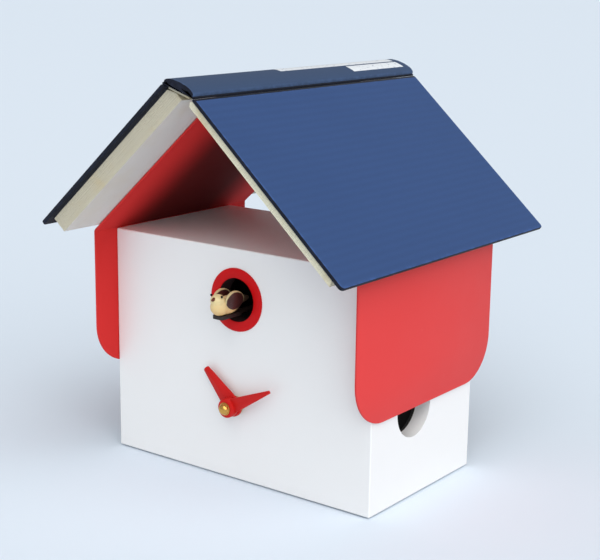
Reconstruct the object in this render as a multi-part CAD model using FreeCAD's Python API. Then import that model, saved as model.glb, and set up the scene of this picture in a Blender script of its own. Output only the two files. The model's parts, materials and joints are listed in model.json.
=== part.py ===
import FreeCAD, Part
import math
import os
from FreeCAD import Vector

# Box clock with a cuckoo, roofed by a folded steel saddle with an open book laid over it.
# Millimetres. +X is the clock's right as you face it, +Y runs to its back, +Z is up.
# The origin is the middle of the face that it rests on.

os.makedirs("parts", exist_ok=True)

# Case
CASE_WIDTH = 200.0
CASE_DEPTH = 112.0
CASE_TOP = 147.5
WALL = 10.0
EDGE_RADIUS = 0.8
BASE_SHEET = 1.0
BASE_INSET = 4.0
BACK_THICK = 3.0
BACK_INSET = 2.0
BACK_GAP = 0.3
BLOCK_SIZE = 12.0
BLOCK_DEPTH = 16.0

# Roof saddle and the book on it
SHEET = 1.5
PAD = 0.3
SLOPE_DEG = 41.9
KNEE_HEIGHT = 148.7
FLAP_BOTTOM = 58.0
FLAP_CORNER = 28.0
OVERHANG = 18.5
BEND_RADIUS = 3.0
PAD_WIDTH = 50.0
PAD_HEIGHT = 14.0

BOOK_FRONT = 106.7
BOOK_LENGTH = 225.8
BOARD = 2.6
BOARD_WIDTH = 138.0
BOARD_CORNER = 2.5
PAGE_SQUARE = 3.0
REST_GAP = 0.3
LEFT_PAGES = 12.3
RIGHT_PAGES = 5.95
LEFT_BOARD_START = 3.5
RIGHT_BOARD_START = 6.9
LEFT_FORE_EDGE = 131.4
RIGHT_FORE_EDGE = 137.5
LEFT_FORE_LEAN = 1.6
RIGHT_FORE_LEAN = 2.0
CLOTH = 0.6
HINGE_GAP = 0.8
SPINE_CROWN = 4.2
SPINE_SHOULDER = 2.0
SPINE_SHOULDER_RISE = 3.2

# Bird hole and sound holes
HOLE_HEIGHT = 116.0
RING_RADIUS = 19.7
RING_BORE = 13.5
RING_SLEEVE = 1.8
RING_PROUD = 1.0
RING_SEAT = 1.2
RING_FIT = 0.05
SOUND_RADIUS = 18.2
SOUND_BACK = 45.6
SOUND_HEIGHT = 57.0
GASKET = 2.0
GASKET_WIDTH = 4.0
ACOUSTIC_CLOTH = 0.5

# Dial and movement
DIAL_HEIGHT = 49.6
HOUR_LENGTH = 29.6
HOUR_ANGLE = -46.6
HOUR_BASE = 13.4
HOUR_TIP = 4.9
MINUTE_LENGTH = 36.3
MINUTE_ANGLE = 62.8
MINUTE_BASE = 10.2
MINUTE_TIP = 2.2
HAND_THICK = 1.2
HOUR_HUB = 6.7
MINUTE_HUB = 6.0
HUB_THICK = 2.6
MINUTE_HUB_THICK = 5.4
HUB_GAP = 0.4
CAP_RADIUS = 4.0
ARBOR = 1.75
TUBE_WALL = 0.75
RUNNING = 0.06
BUSH_WALL = 1.3
BUSH_PROUD = 2.1
NUT_THICK = 2.0
NUT_FLATS = 11.0
MOVEMENT_SIZE = 56.0
MOVEMENT_FRONT = 10.0
MOVEMENT_REAR = 6.0
SHELL = 1.2
TRAIN_MODULE = 0.3
MOTION_MODULE = 0.45
CANNON_TEETH = 12
MOTION_TEETH = 36
MOTION_LEAVES = 10
HOUR_TEETH = 40
CENTRE_TEETH = 60
THIRD_LEAVES = 8
THIRD_TEETH = 48
ROTOR_LEAVES = 6
KNOB_LEAVES = 12
THIRD_DIRECTION = 150.0
ROTOR_DIRECTION = 100.0
STUD = 0.8
KNOB_RADIUS = 5.0

# Cuckoo drive
TRAVEL = 36.0
ROD_RADIUS = 1.5
ROD_SPREAD = 9.0
ROD_DROP = 19.0
FRAME_THICK = 2.5
CARRIAGE_WIDTH = 28.0
CARRIAGE_LENGTH = 20.0
CARRIAGE_HEIGHT = 7.0
PERCH_RADIUS = 1.5
PERCH_DROP = 7.6
PERCH_REACH = 18.0
PERCH_WIDTH = 8.0
PERCH_THICK = 2.5
PERCH_LENGTH = 18.0
RACK_MODULE = 1.0
DRIVE_TEETH = 12

# Bird, measured from the front face of the case
BIRD_REACH = 22.3
BIRD_RADIUS = 6.4
BIRD_AXIS_DROP = 0.6
HEAD_RADIUS = 5.0
WING_LENGTH = 17.0
WING_HEIGHT = 12.4
WING_SETBACK = 14.4

# Electrics
MAIN_HALF_HEIGHT = 19.0
BOARD_STANDOFF = 4.0
SWITCH_HEIGHT = 2.6
CELL_RADIUS = 7.2
CELL_LENGTH = 50.5
CELL_COUNT = 3
TRAY_WALL = 1.5
TRAY_DEPTH = 18.0
TRAY_X = -44.0
TRAY_BOTTOM = 26.0
LID_GAP = 0.4
HATCH_X = 22.0
HATCH_Z = 34.0
HATCH_RADIUS = 20.0
BOARD_THICK = 1.6

# Planes and places worked out from the sizes above
half_width = CASE_WIDTH / 2
front = -CASE_DEPTH / 2
back = CASE_DEPTH / 2
inner_front = front + WALL
case_bottom = BASE_SHEET
floor = case_bottom + WALL
ceiling = CASE_TOP - WALL
inner_half = half_width - WALL
cover_out = back - BACK_INSET
cover_in = cover_out - BACK_THICK
saddle_half = half_width + PAD + SHEET
slope = math.radians(SLOPE_DEG)
ridge = KNEE_HEIGHT + saddle_half * math.tan(slope)
saddle_front = front - OVERHANG
saddle_back = back + OVERHANG
book_back = BOOK_LENGTH - BOOK_FRONT
sound_y = front + SOUND_BACK
bush_inner = ARBOR + RUNNING + TUBE_WALL + RUNNING
bush_outer = bush_inner + BUSH_WALL
hour_front = front - BUSH_PROUD - HUB_GAP - HUB_THICK
minute_front = hour_front - HUB_GAP - MINUTE_HUB_THICK
shell_split = inner_front + MOVEMENT_FRONT
movement_back = shell_split + MOVEMENT_REAR
motion_distance = MOTION_MODULE * (CANNON_TEETH + MOTION_TEETH) / 2
hour_module = 2 * motion_distance / (MOTION_LEAVES + HOUR_TEETH)
rod_z = HOLE_HEIGHT - ROD_DROP
tray_top = rod_z - CARRIAGE_HEIGHT / 2 - 1.0
carriage_front = inner_front + 4.0
rack_line = CARRIAGE_WIDTH / 2 + 3.0
rack_teeth = math.ceil(TRAVEL / (math.pi * RACK_MODULE)) + 1
drive_x = rack_line + RACK_MODULE * DRIVE_TEETH / 2
drive_y = carriage_front + TRAVEL + 4.0
bird_front = front - BIRD_REACH
bird_axis = HOLE_HEIGHT - BIRD_AXIS_DROP


def block(x0, x1, y0, y1, z0, z1):
    return Part.makeBox(x1 - x0, y1 - y0, z1 - z0, Vector(x0, y0, z0))


def bar_x(radius, x0, x1, y, z):
    return Part.makeCylinder(radius, x1 - x0, Vector(x0, y, z), Vector(1, 0, 0))


def bar_y(radius, y0, y1, x, z):
    return Part.makeCylinder(radius, y1 - y0, Vector(x, y0, z), Vector(0, 1, 0))


def bar_z(radius, z0, z1, x, y):
    return Part.makeCylinder(radius, z1 - z0, Vector(x, y, z0), Vector(0, 0, 1))


def flat_face(points):
    return Part.Face(Part.makePolygon(points + points[:1]))


def prism_y(outline, y0, y1):
    points = [Vector(x, y0, z) for x, z in outline]
    return flat_face(points).extrude(Vector(0, y1 - y0, 0))


def prism_z(outline, z0, z1):
    points = [Vector(x, y, z0) for x, y in outline]
    return flat_face(points).extrude(Vector(0, 0, z1 - z0))


def turned_y(profile, x, z):
    points = [Vector(x + radius, y, z) for radius, y in profile]
    return flat_face(points).revolve(Vector(x, 0, z), Vector(0, 1, 0), 360)


def turned_x(profile, y, z):
    points = [Vector(x, y + radius, z) for radius, x in profile]
    return flat_face(points).revolve(Vector(0, y, z), Vector(1, 0, 0), 360)


def joined(shapes):
    return shapes[0].multiFuse(shapes[1:]).removeSplitter()


def group(shapes):
    return Part.makeCompound(shapes)


def edges_along(shape, direction):
    chosen = []
    for edge in shape.Edges:
        if len(edge.Vertexes) == 2 and isinstance(edge.Curve, Part.Line):
            if abs(abs(edge.tangentAt(edge.FirstParameter).dot(direction)) - 1) < 1e-6:
                chosen.append(edge)
    return chosen


def save(name, shape):
    for solid in shape.Solids:
        if not solid.isValid():
            raise ValueError(name + " is not a valid solid")
    if not shape.Solids:
        raise ValueError(name + " holds no solid")
    shape.exportStep("parts/" + name + ".step")


def hexahedron(near, far):
    faces = [flat_face(near), flat_face(far)]
    for i in range(4):
        j = (i + 1) % 4
        faces.append(flat_face([near[i], near[j], far[j], far[i]]))
    return Part.makeSolid(Part.makeShell(faces))


def rounded_wire(corners, at):
    """Closed wire through (u, v, radius) corners; at(u, v) places a point."""
    edges = []
    ends = []
    count = len(corners)
    for i in range(count):
        u, v, radius = corners[i]
        pu, pv, _ = corners[i - 1]
        nu, nv, _ = corners[(i + 1) % count]
        before = Vector(pu - u, pv - v, 0).normalize()
        after = Vector(nu - u, nv - v, 0).normalize()
        if radius == 0:
            ends.append((at(u, v), at(u, v)))
            continue
        half = before.getAngle(after) / 2
        reach = radius / math.tan(half)
        middle = before + after
        middle.normalize()
        sag = radius / math.sin(half) - radius
        start = at(u + before.x * reach, v + before.y * reach)
        end = at(u + after.x * reach, v + after.y * reach)
        edges.append(Part.Arc(start, at(u + middle.x * sag, v + middle.y * sag), end).toShape())
        ends.append((start, end))
    for i in range(count):
        a = ends[i][1]
        b = ends[(i + 1) % count][0]
        edges.append(Part.LineSegment(a, b).toShape())
    return Part.Wire(Part.__sortEdges__(edges))


# ---------------------------------------------------------------- case


def case_hull():
    hull = block(-half_width, half_width, front, back, case_bottom, CASE_TOP)
    outer = [e for e in hull.Edges if min(v.Y for v in e.Vertexes) < back - 1e-6]
    return hull.makeFillet(EDGE_RADIUS, outer)


def rectangle(plane, low, high):
    """Four corners of a rectangle on a plane given as (axis, value)."""
    axis, value = plane
    (a0, b0), (a1, b1) = low, high
    corners = [(a0, b0), (a1, b0), (a1, b1), (a0, b1)]
    if axis == "x":
        return [Vector(value, a, b) for a, b in corners]
    if axis == "y":
        return [Vector(a, value, b) for a, b in corners]
    return [Vector(a, b, value) for a, b in corners]


def front_panel():
    outer = rectangle(("y", front), (-half_width, case_bottom), (half_width, CASE_TOP))
    inner = rectangle(("y", inner_front), (-inner_half, floor), (inner_half, ceiling))
    panel = hexahedron(outer, inner).common(case_hull())
    sleeve = RING_BORE + RING_SLEEVE + RING_FIT
    cuts = [bar_y(sleeve, front - 1, inner_front + 1, 0, HOLE_HEIGHT)]
    cuts.append(bar_y(RING_RADIUS + RING_FIT, front - 1, front + RING_SEAT, 0, HOLE_HEIGHT))
    cuts.append(bar_y(bush_outer, front - 1, inner_front + 1, 0, DIAL_HEIGHT))
    for x, z in frame_screw_places():
        cuts.append(bar_y(1.2, inner_front - 5, inner_front + 1, x, z))
    return panel.cut(cuts)


def side_panel(side):
    outer = rectangle(("x", side * half_width), (front, case_bottom), (back, CASE_TOP))
    inner = rectangle(("x", side * inner_half), (inner_front, floor), (back, ceiling))
    panel = hexahedron(outer, inner).common(case_hull())
    return panel.cut(bar_x(SOUND_RADIUS, -half_width - 1, half_width + 1, sound_y, SOUND_HEIGHT))


def level_panel(outside, inside):
    outer = rectangle(("z", outside), (-half_width, front), (half_width, back))
    inner = rectangle(("z", inside), (-inner_half, inner_front), (inner_half, back))
    return hexahedron(outer, inner).common(case_hull())


def base_sheet():
    x = half_width - BASE_INSET
    y = back - BASE_INSET
    return block(-x, x, -y, y, 0, case_bottom)


def corner_places():
    x = inner_half - BLOCK_SIZE / 2
    low = floor + BLOCK_SIZE / 2
    high = ceiling - BLOCK_SIZE / 2
    return [(-x, low), (x, low), (-x, high), (x, high)]


def corner_blocks():
    half = BLOCK_SIZE / 2
    blocks = []
    for x, z in corner_places():
        body = block(x - half, x + half, cover_in - BLOCK_DEPTH, cover_in, z - half, z + half)
        blocks.append(body.cut(bar_y(1.5, cover_in - 10, cover_in + 1, x, z)))
    return group(blocks)


def back_screws():
    screws = []
    for x, z in corner_places():
        shank = bar_y(1.5, cover_in - 9.5, cover_out, x, z)
        head = bar_y(3.2, cover_out, cover_out + 1.6, x, z)
        cross = block(x - 1.9, x + 1.9, cover_out + 0.8, back + 1, z - 0.35, z + 0.35)
        bar = block(x - 0.35, x + 0.35, cover_out + 0.8, back + 1, z - 1.9, z + 1.9)
        screws.append(joined([shank, head]).cut([cross, bar]))
    return group(screws)


def tray_box():
    inside_width = CELL_LENGTH + 5.0
    inside_height = CELL_COUNT * (2 * CELL_RADIUS + 0.4) + 0.4
    return inside_width, inside_height


def back_cover():
    x = inner_half - BACK_GAP
    plate = block(-x, x, cover_in, cover_out, floor + BACK_GAP, ceiling - BACK_GAP)
    width, height = tray_box()
    cuts = [bar_y(1.5, cover_in - 1, cover_out + 1, px, pz) for px, pz in corner_places()]
    cuts.append(bar_y(HATCH_RADIUS, cover_in - 1, cover_out + 1, HATCH_X, HATCH_Z))
    mid = TRAY_BOTTOM + TRAY_WALL + height / 2
    cuts.append(block(TRAY_X - width / 2, TRAY_X + width / 2, cover_in - 1, cover_out + 1,
                      mid - height / 2, mid + height / 2))
    sx, sz = slider_place()
    cuts.append(block(sx - 4.5, sx + 4.5, cover_in - 1, cover_out + 1, sz - 2.2, sz + 2.2))
    return plate.cut(cuts)


def bird_ring():
    sleeve = RING_BORE + RING_SLEEVE
    face = front - RING_PROUD
    seat = front + RING_SEAT
    profile = [(RING_BORE, face), (RING_RADIUS - 0.6, face), (RING_RADIUS, face + 0.6)]
    profile += [(RING_RADIUS, seat), (sleeve, seat), (sleeve, inner_front), (RING_BORE, inner_front)]
    return turned_y(profile, 0, HOLE_HEIGHT)


def sound_gasket(side):
    inner = SOUND_RADIUS + 0.3
    outer = inner + GASKET_WIDTH
    x0 = inner_half - GASKET
    x1 = side * inner_half
    profile = [(inner, side * x0), (outer, side * x0), (outer, x1), (inner, x1)]
    return turned_x(profile, sound_y, SOUND_HEIGHT)


def sound_cloth(side):
    outer = SOUND_RADIUS + 0.3 + GASKET_WIDTH
    x1 = inner_half - GASKET
    x0 = x1 - ACOUSTIC_CLOTH
    return bar_x(outer, min(side * x0, side * x1), max(side * x0, side * x1), sound_y, SOUND_HEIGHT)


# ---------------------------------------------------------------- roof


def saddle():
    inner_x = saddle_half - SHEET
    drop = SHEET / math.cos(slope)
    knee_in = ridge - drop - inner_x * math.tan(slope)
    tight = BEND_RADIUS - SHEET
    corners = [(-saddle_half, FLAP_BOTTOM, 0), (-saddle_half, KNEE_HEIGHT, BEND_RADIUS)]
    corners += [(0, ridge, BEND_RADIUS), (saddle_half, KNEE_HEIGHT, BEND_RADIUS)]
    corners += [(saddle_half, FLAP_BOTTOM, 0), (inner_x, FLAP_BOTTOM, 0), (inner_x, knee_in, tight)]
    corners += [(0, ridge - drop, tight), (-inner_x, knee_in, tight), (-inner_x, FLAP_BOTTOM, 0)]
    section = rounded_wire(corners, lambda u, v: Vector(u, saddle_front, v))
    folded = Part.Face(section).extrude(Vector(0, saddle_back - saddle_front, 0))
    side = [(saddle_front, FLAP_BOTTOM, FLAP_CORNER), (saddle_back, FLAP_BOTTOM, FLAP_CORNER)]
    side += [(saddle_back, ridge + 1, 0), (saddle_front, ridge + 1, 0)]
    outline = rounded_wire(side, lambda u, v: Vector(-saddle_half - 1, u, v))
    envelope = Part.Face(outline).extrude(Vector(2 * saddle_half + 2, 0, 0))
    return folded.common(envelope)


def adhesive_pads():
    pads = []
    top = CASE_TOP - 6
    low = FLAP_BOTTOM + FLAP_CORNER - PAD_HEIGHT
    for side in (-1, 1):
        x0 = min(side * half_width, side * (half_width + PAD))
        for z in (low, top - PAD_HEIGHT):
            pads.append(block(x0, x0 + PAD, -PAD_WIDTH / 2, PAD_WIDTH / 2, z, z + PAD_HEIGHT))
    return group(pads)


def on_slope(side, along, lift):
    """Point a distance down one slope from the ridge and a height above it."""
    x = side * (along * math.cos(slope) + lift * math.sin(slope))
    z = ridge - along * math.sin(slope) + lift * math.cos(slope)
    return x, z


def cover(side, start, pages):
    outline = [on_slope(side, start, pages), on_slope(side, start + BOARD_WIDTH, pages)]
    outline += [on_slope(side, start + BOARD_WIDTH, pages + BOARD), on_slope(side, start, pages + BOARD)]
    board = prism_y(outline, -BOOK_FRONT, book_back)
    through = Vector(-side * math.sin(slope), 0, -math.cos(slope))
    outer_x = abs(on_slope(side, start + BOARD_WIDTH / 2, pages)[0])
    corners = [e for e in edges_along(board, through) if abs(e.CenterOfMass.x) > outer_x]
    return board.makeFillet(BOARD_CORNER, corners)


def left_pages():
    outline = [(1.0, REST_GAP), (LEFT_FORE_EDGE, REST_GAP), (LEFT_FORE_EDGE + LEFT_FORE_LEAN, LEFT_PAGES)]
    outline += [(6.0, LEFT_PAGES), (1.2, 5.5)]
    points = [on_slope(-1, along, lift) for along, lift in outline]
    return prism_y(points, PAGE_SQUARE - BOOK_FRONT, book_back - PAGE_SQUARE)


def right_pages():
    upper_edge = RIGHT_FORE_EDGE - RIGHT_FORE_LEAN
    outline = [(6.3, REST_GAP), (RIGHT_FORE_EDGE, REST_GAP), (upper_edge, RIGHT_PAGES)]
    outline += [(RIGHT_BOARD_START, RIGHT_PAGES), (4.6, 3.0)]
    points = [on_slope(1, along, lift) for along, lift in outline]
    return prism_y(points, PAGE_SQUARE - BOOK_FRONT, book_back - PAGE_SQUARE)


def book_hinges():
    left = on_slope(-1, LEFT_BOARD_START - HINGE_GAP, LEFT_PAGES + BOARD)
    right = on_slope(1, RIGHT_BOARD_START - HINGE_GAP, RIGHT_PAGES + BOARD)
    return Vector(left[0], 0, left[1]), Vector(right[0], 0, right[1])


def spine_strip():
    """Rounded back of the book: steep shoulders, a flat arc between them and a rib below."""
    left, right = book_hinges()
    across = (right - left).normalize()
    down = Vector(across.z, 0, -across.x)
    width = (right - left).Length

    def place(u, v):
        point = left + across * u + down * v
        return Vector(point.x, -BOOK_FRONT, point.z)

    inset = 3.4
    near = place(SPINE_SHOULDER, -SPINE_SHOULDER_RISE)
    far = place(width - SPINE_SHOULDER, -SPINE_SHOULDER_RISE)
    crown = Part.Arc(near, place(width / 2, -SPINE_CROWN), far).toShape()
    points = [far, place(width - 0.4, 0), place(width - 0.4, CLOTH), place(width - inset, CLOTH)]
    points += [place(width - inset, BOARD), place(inset, BOARD), place(inset, CLOTH), place(0.4, CLOTH)]
    points += [place(0.4, 0), near]
    outline = Part.Wire([crown] + Part.makePolygon(points).Edges)
    return Part.Face(outline).extrude(Vector(0, book_back + BOOK_FRONT, 0))


# ---------------------------------------------------------------- gears


def toothed(teeth, module, phase):
    """Closed outline of a spur gear with one tooth centred at phase degrees."""
    tip = module * (teeth / 2 + 0.7)
    root = module * (teeth / 2 - 0.95)
    pitch = 2 * math.pi / teeth
    points = []
    for i in range(teeth):
        centre = math.radians(phase) + i * pitch
        for radius, offset in ((root, -0.26), (tip, -0.1), (tip, 0.1), (root, 0.26)):
            angle = centre + offset * pitch
            points.append((radius * math.cos(angle), radius * math.sin(angle)))
    return points


def gear_y(teeth, module, phase, y0, y1, x, z):
    outline = [(x + u, z + v) for u, v in toothed(teeth, module, phase)]
    return prism_y(outline, y0, y1)


def third_place():
    distance = TRAIN_MODULE * (CENTRE_TEETH + THIRD_LEAVES) / 2
    angle = math.radians(THIRD_DIRECTION)
    return distance * math.cos(angle), DIAL_HEIGHT + distance * math.sin(angle)


def rotor_place():
    x, z = third_place()
    distance = TRAIN_MODULE * (THIRD_TEETH + ROTOR_LEAVES) / 2
    angle = math.radians(ROTOR_DIRECTION)
    return x + distance * math.cos(angle), z + distance * math.sin(angle)


def centre_wheel():
    y = movement_back - SHELL
    wheel = gear_y(CENTRE_TEETH, TRAIN_MODULE, THIRD_DIRECTION, y - 3.0, y - 2.0, 0, DIAL_HEIGHT)
    cannon = gear_y(CANNON_TEETH, MOTION_MODULE, 270, y - 7.0, y - 5.0, 0, DIAL_HEIGHT)
    arbor = bar_y(ARBOR, minute_front - 1.0, y - 0.2, 0, DIAL_HEIGHT)
    return joined([arbor, wheel, cannon])


def third_wheel():
    x, z = third_place()
    y = movement_back - SHELL
    leaf_phase = THIRD_DIRECTION + 180 + 180 / THIRD_LEAVES
    pinion = gear_y(THIRD_LEAVES, TRAIN_MODULE, leaf_phase, y - 4.0, y - 1.2, x, z)
    wheel = gear_y(THIRD_TEETH, TRAIN_MODULE, ROTOR_DIRECTION, y - 4.8, y - 4.0, x, z)
    return joined([pinion, wheel, bar_y(0.5, inner_front + SHELL + 1.3, y + 0.6, x, z)])


def rotor():
    x, z = rotor_place()
    y = movement_back - SHELL
    leaf_phase = ROTOR_DIRECTION + 180 + 180 / ROTOR_LEAVES
    pinion = gear_y(ROTOR_LEAVES, TRAIN_MODULE, leaf_phase, y - 5.4, y - 3.2, x, z)
    magnet = bar_y(3.0, y - 8.4, y - 5.4, x, z)
    return joined([magnet, pinion, bar_y(0.35, inner_front + SHELL + 1.3, y + 0.6, x, z)])


def motion_wheel():
    z = DIAL_HEIGHT - motion_distance
    y = movement_back - SHELL
    gap_phase = 90 + 180 / MOTION_TEETH
    wheel = gear_y(MOTION_TEETH, MOTION_MODULE, gap_phase, y - 6.6, y - 5.4, 0, z)
    pinion = gear_y(MOTION_LEAVES, hour_module, 90, y - 9.8, y - 6.6, 0, z)
    return joined([wheel, pinion]).cut(bar_y(STUD + RUNNING, inner_front, y, 0, z))


def hour_wheel():
    y = movement_back - SHELL
    tube = ARBOR + RUNNING + TUBE_WALL
    wheel = gear_y(HOUR_TEETH, hour_module, 270 + 180 / HOUR_TEETH, y - 9.6, y - 8.4, 0, DIAL_HEIGHT)
    body = joined([wheel, bar_y(tube, hour_front, y - 8.4, 0, DIAL_HEIGHT)])
    return body.cut(bar_y(ARBOR + RUNNING, front - 20, y, 0, DIAL_HEIGHT))


def setting_knob():
    z = DIAL_HEIGHT - motion_distance - MOTION_MODULE * (MOTION_TEETH + KNOB_LEAVES) / 2
    y = movement_back - SHELL
    pinion = gear_y(KNOB_LEAVES, MOTION_MODULE, 90, y - 7.0, y - 5.0, 0, z)
    stem = bar_y(1.5, y - 7.0, movement_back + 0.6, 0, z)
    grip = gear_y(24, 2 * KNOB_RADIUS / 25.4, 0, movement_back + 0.5, movement_back + 4.0, 0, z)
    return joined([pinion, stem, grip])


# ---------------------------------------------------------------- movement


def movement_rim(half):
    corners = ((-half, -half), (half, -half), (half, half), (-half, half))
    return [(x, DIAL_HEIGHT + z) for x, z in corners]


def movement_box(half, radius, y0, y1):
    corners = [(u, v, radius) for u, v in movement_rim(half)]
    wire = rounded_wire(corners, lambda u, v: Vector(u, y0, v))
    return Part.Face(wire).extrude(Vector(0, y1 - y0, 0))


def movement_front_shell():
    half = MOVEMENT_SIZE / 2
    inside = inner_front + SHELL
    shell = movement_box(half, 3.0, inner_front, shell_split)
    shell = shell.cut(movement_box(half - SHELL, 2.0, inside, shell_split + 1))
    bush = bar_y(bush_outer, front - BUSH_PROUD, inside, 0, DIAL_HEIGHT)
    z = DIAL_HEIGHT - motion_distance
    stud = bar_y(STUD, inside - 0.5, movement_back - SHELL - 5.0, 0, z)
    shell = joined([shell, bush, stud])
    cuts = [bar_y(bush_inner, front - BUSH_PROUD - 1, inside + 1, 0, DIAL_HEIGHT)]
    shell = shell.cut(cuts)
    bosses = []
    for (x, z), radius in ((third_place(), 0.5), (rotor_place(), 0.35)):
        boss = bar_y(1.4, inside - 0.2, inside + 2.2, x, z)
        bosses.append(boss.cut(bar_y(radius + RUNNING, inside, inside + 3, x, z)))
    return joined([shell] + bosses)


def movement_rear_shell():
    half = MOVEMENT_SIZE / 2
    inside = movement_back - SHELL
    shell = movement_box(half, 3.0, shell_split, movement_back)
    shell = shell.cut(movement_box(half - SHELL, 2.0, shell_split - 1, inside))
    knob_z = DIAL_HEIGHT - motion_distance - MOTION_MODULE * (MOTION_TEETH + KNOB_LEAVES) / 2
    cuts = [bar_y(1.5 + RUNNING, inside - 1, movement_back + 1, 0, knob_z)]
    for (x, z), radius in ((third_place(), 0.5), (rotor_place(), 0.35)):
        cuts.append(bar_y(radius + RUNNING, inside - 1, inside + 0.9, x, z))
    cuts.append(bar_y(ARBOR + RUNNING, inside - 1, inside + 0.2, 0, DIAL_HEIGHT))
    return shell.cut(cuts)


def movement_nut():
    radius = NUT_FLATS / math.sqrt(3)
    angles = [math.radians(60 * i) for i in range(6)]
    corners = [(radius * math.cos(a), DIAL_HEIGHT + radius * math.sin(a)) for a in angles]
    nut = prism_y(corners, front - NUT_THICK, front)
    return nut.cut(bar_y(bush_outer, front - 5, front + 1, 0, DIAL_HEIGHT))


def stator():
    x, z = rotor_place()
    y = movement_back - SHELL - 7.6
    plate = block(x - 14, x + 22, y, y + 0.9, z - 4.6, z + 4.6)
    leg_a = block(x - 14, x - 9, y, y + 0.9, z + 4.6, z + 12)
    leg_b = block(x + 17, x + 22, y, y + 0.9, z + 4.6, z + 12)
    arbor_room = bar_y(10.0, y - 1, y + 2, 0, DIAL_HEIGHT)
    return joined([plate, leg_a, leg_b]).cut([bar_y(3.5, y - 1, y + 2, x, z), arbor_room])


def coil():
    x, z = rotor_place()
    y = movement_back - SHELL - 8.4
    core = block(x - 9.2, x + 17.2, y, y + 0.8, z + 6.4, z + 11.4)
    winding = bar_x(3.4, x - 7, x + 15, y + 0.4, z + 8.9)
    cheek_a = bar_x(3.9, x - 8, x - 7, y + 0.4, z + 8.9)
    cheek_b = bar_x(3.9, x + 15, x + 16, y + 0.4, z + 8.9)
    return joined([core, winding, cheek_a, cheek_b]).cut(stator())


def movement_board():
    half = MOVEMENT_SIZE / 2 - SHELL
    y = inner_front + SHELL
    board = block(12, half, y, y + 0.8, DIAL_HEIGHT - half + 2, DIAL_HEIGHT + 4)
    chip = block(15, 21, y + 0.8, y + 2.2, DIAL_HEIGHT - 12, DIAL_HEIGHT - 6)
    crystal = bar_x(1.1, 14, 22, y + 1.7, DIAL_HEIGHT - 18)
    return joined([board, chip, crystal])


# ---------------------------------------------------------------- hands


def blade(length, base, tip, clock_angle, y0, y1):
    turn = math.radians(clock_angle)
    out_x, out_z = math.sin(turn), math.cos(turn)
    side_x, side_z = math.cos(turn), -math.sin(turn)
    outline = []
    for along, across in ((0, -base / 2), (length, -tip / 2), (length, tip / 2), (0, base / 2)):
        outline.append((along * out_x + across * side_x, DIAL_HEIGHT + along * out_z + across * side_z))
    return prism_y(outline, y0, y1)


def hour_hand():
    y0 = hour_front + (HUB_THICK - HAND_THICK) / 2
    arm = blade(HOUR_LENGTH, HOUR_BASE, HOUR_TIP, HOUR_ANGLE, y0, y0 + HAND_THICK)
    hub = bar_y(HOUR_HUB, hour_front, hour_front + HUB_THICK, 0, DIAL_HEIGHT)
    tube = ARBOR + RUNNING + TUBE_WALL
    return joined([hub, arm]).cut(bar_y(tube, hour_front - 1, front, 0, DIAL_HEIGHT))


def minute_hand():
    y0 = minute_front + (MINUTE_HUB_THICK - HAND_THICK) / 2
    arm = blade(MINUTE_LENGTH, MINUTE_BASE, MINUTE_TIP, MINUTE_ANGLE, y0, y0 + HAND_THICK)
    hub = bar_y(MINUTE_HUB, minute_front, minute_front + MINUTE_HUB_THICK, 0, DIAL_HEIGHT)
    return joined([hub, arm]).cut(bar_y(ARBOR, minute_front - 1, front, 0, DIAL_HEIGHT))


def hand_cap():
    ball = Part.makeSphere(CAP_RADIUS, Vector(0, minute_front, DIAL_HEIGHT))
    dome = ball.common(block(-5, 5, minute_front - 5, minute_front, DIAL_HEIGHT - 5, DIAL_HEIGHT + 5))
    return dome.cut(bar_y(ARBOR, minute_front - 1.0, minute_front + 1, 0, DIAL_HEIGHT))


# ---------------------------------------------------------------- bird and its drive


def bird_body():
    tail = BIRD_REACH + 11.8
    stations = [(0.0, 0.15), (0.02, 0.42), (0.07, 0.68), (0.17, 0.91), (0.3, 1.0)]
    stations += [(0.48, 0.92), (0.68, 0.62), (0.85, 0.38), (1.0, 0.22)]
    points = [Vector(BIRD_RADIUS * r, bird_front + tail * t, bird_axis) for t, r in stations]
    curve = Part.BSplineCurve()
    curve.interpolate(points)
    ends = [points[-1], Vector(0, points[-1].y, bird_axis), Vector(0, points[0].y, bird_axis), points[0]]
    half = Part.Face(Part.Wire([curve.toShape()] + Part.makePolygon(ends).Edges))
    body = half.revolve(Vector(0, 0, bird_axis), Vector(0, 1, 0), 360)
    return body.fuse(Part.makeSphere(HEAD_RADIUS, head_centre()))


def head_centre():
    return Vector(0, bird_front + 5.3, HOLE_HEIGHT + 3.9)


def bird_beak():
    centre = head_centre()
    start = Vector(0, centre.y - HEAD_RADIUS + 1.2, centre.z + 0.7)
    cone = Part.makeCone(1.9, 0.3, 4.0, start, Vector(0, -1, -0.1))
    return cone.cut(Part.makeSphere(HEAD_RADIUS, centre))


def bird_eyes():
    centre = head_centre()
    beads = []
    for side in (-1, 1):
        gaze = Vector(side * 0.86, -0.28, 0.42).normalize()
        bead = Part.makeSphere(0.9, centre + gaze * (HEAD_RADIUS - 0.2))
        beads.append(bead.cut(Part.makeSphere(HEAD_RADIUS, centre)))
    return group(beads)


def bird_wing(side, body):
    oval = Part.Ellipse(Vector(0, 0, 0), WING_LENGTH / 2, WING_HEIGHT / 2).toShape()
    oval.rotate(Vector(0, 0, 0), Vector(1, 0, 0), 90)
    oval.rotate(Vector(0, 0, 0), Vector(0, 0, 1), 90)
    oval.translate(Vector(side * 3.0, bird_front + WING_SETBACK, HOLE_HEIGHT + 2.2))
    slab = Part.Face(Part.Wire([oval])).extrude(Vector(side * 3.9, 0, 0))
    return slab.cut(body)


def perch_line():
    return HOLE_HEIGHT - PERCH_DROP


def carriage_back():
    return carriage_front + CARRIAGE_LENGTH


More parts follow.
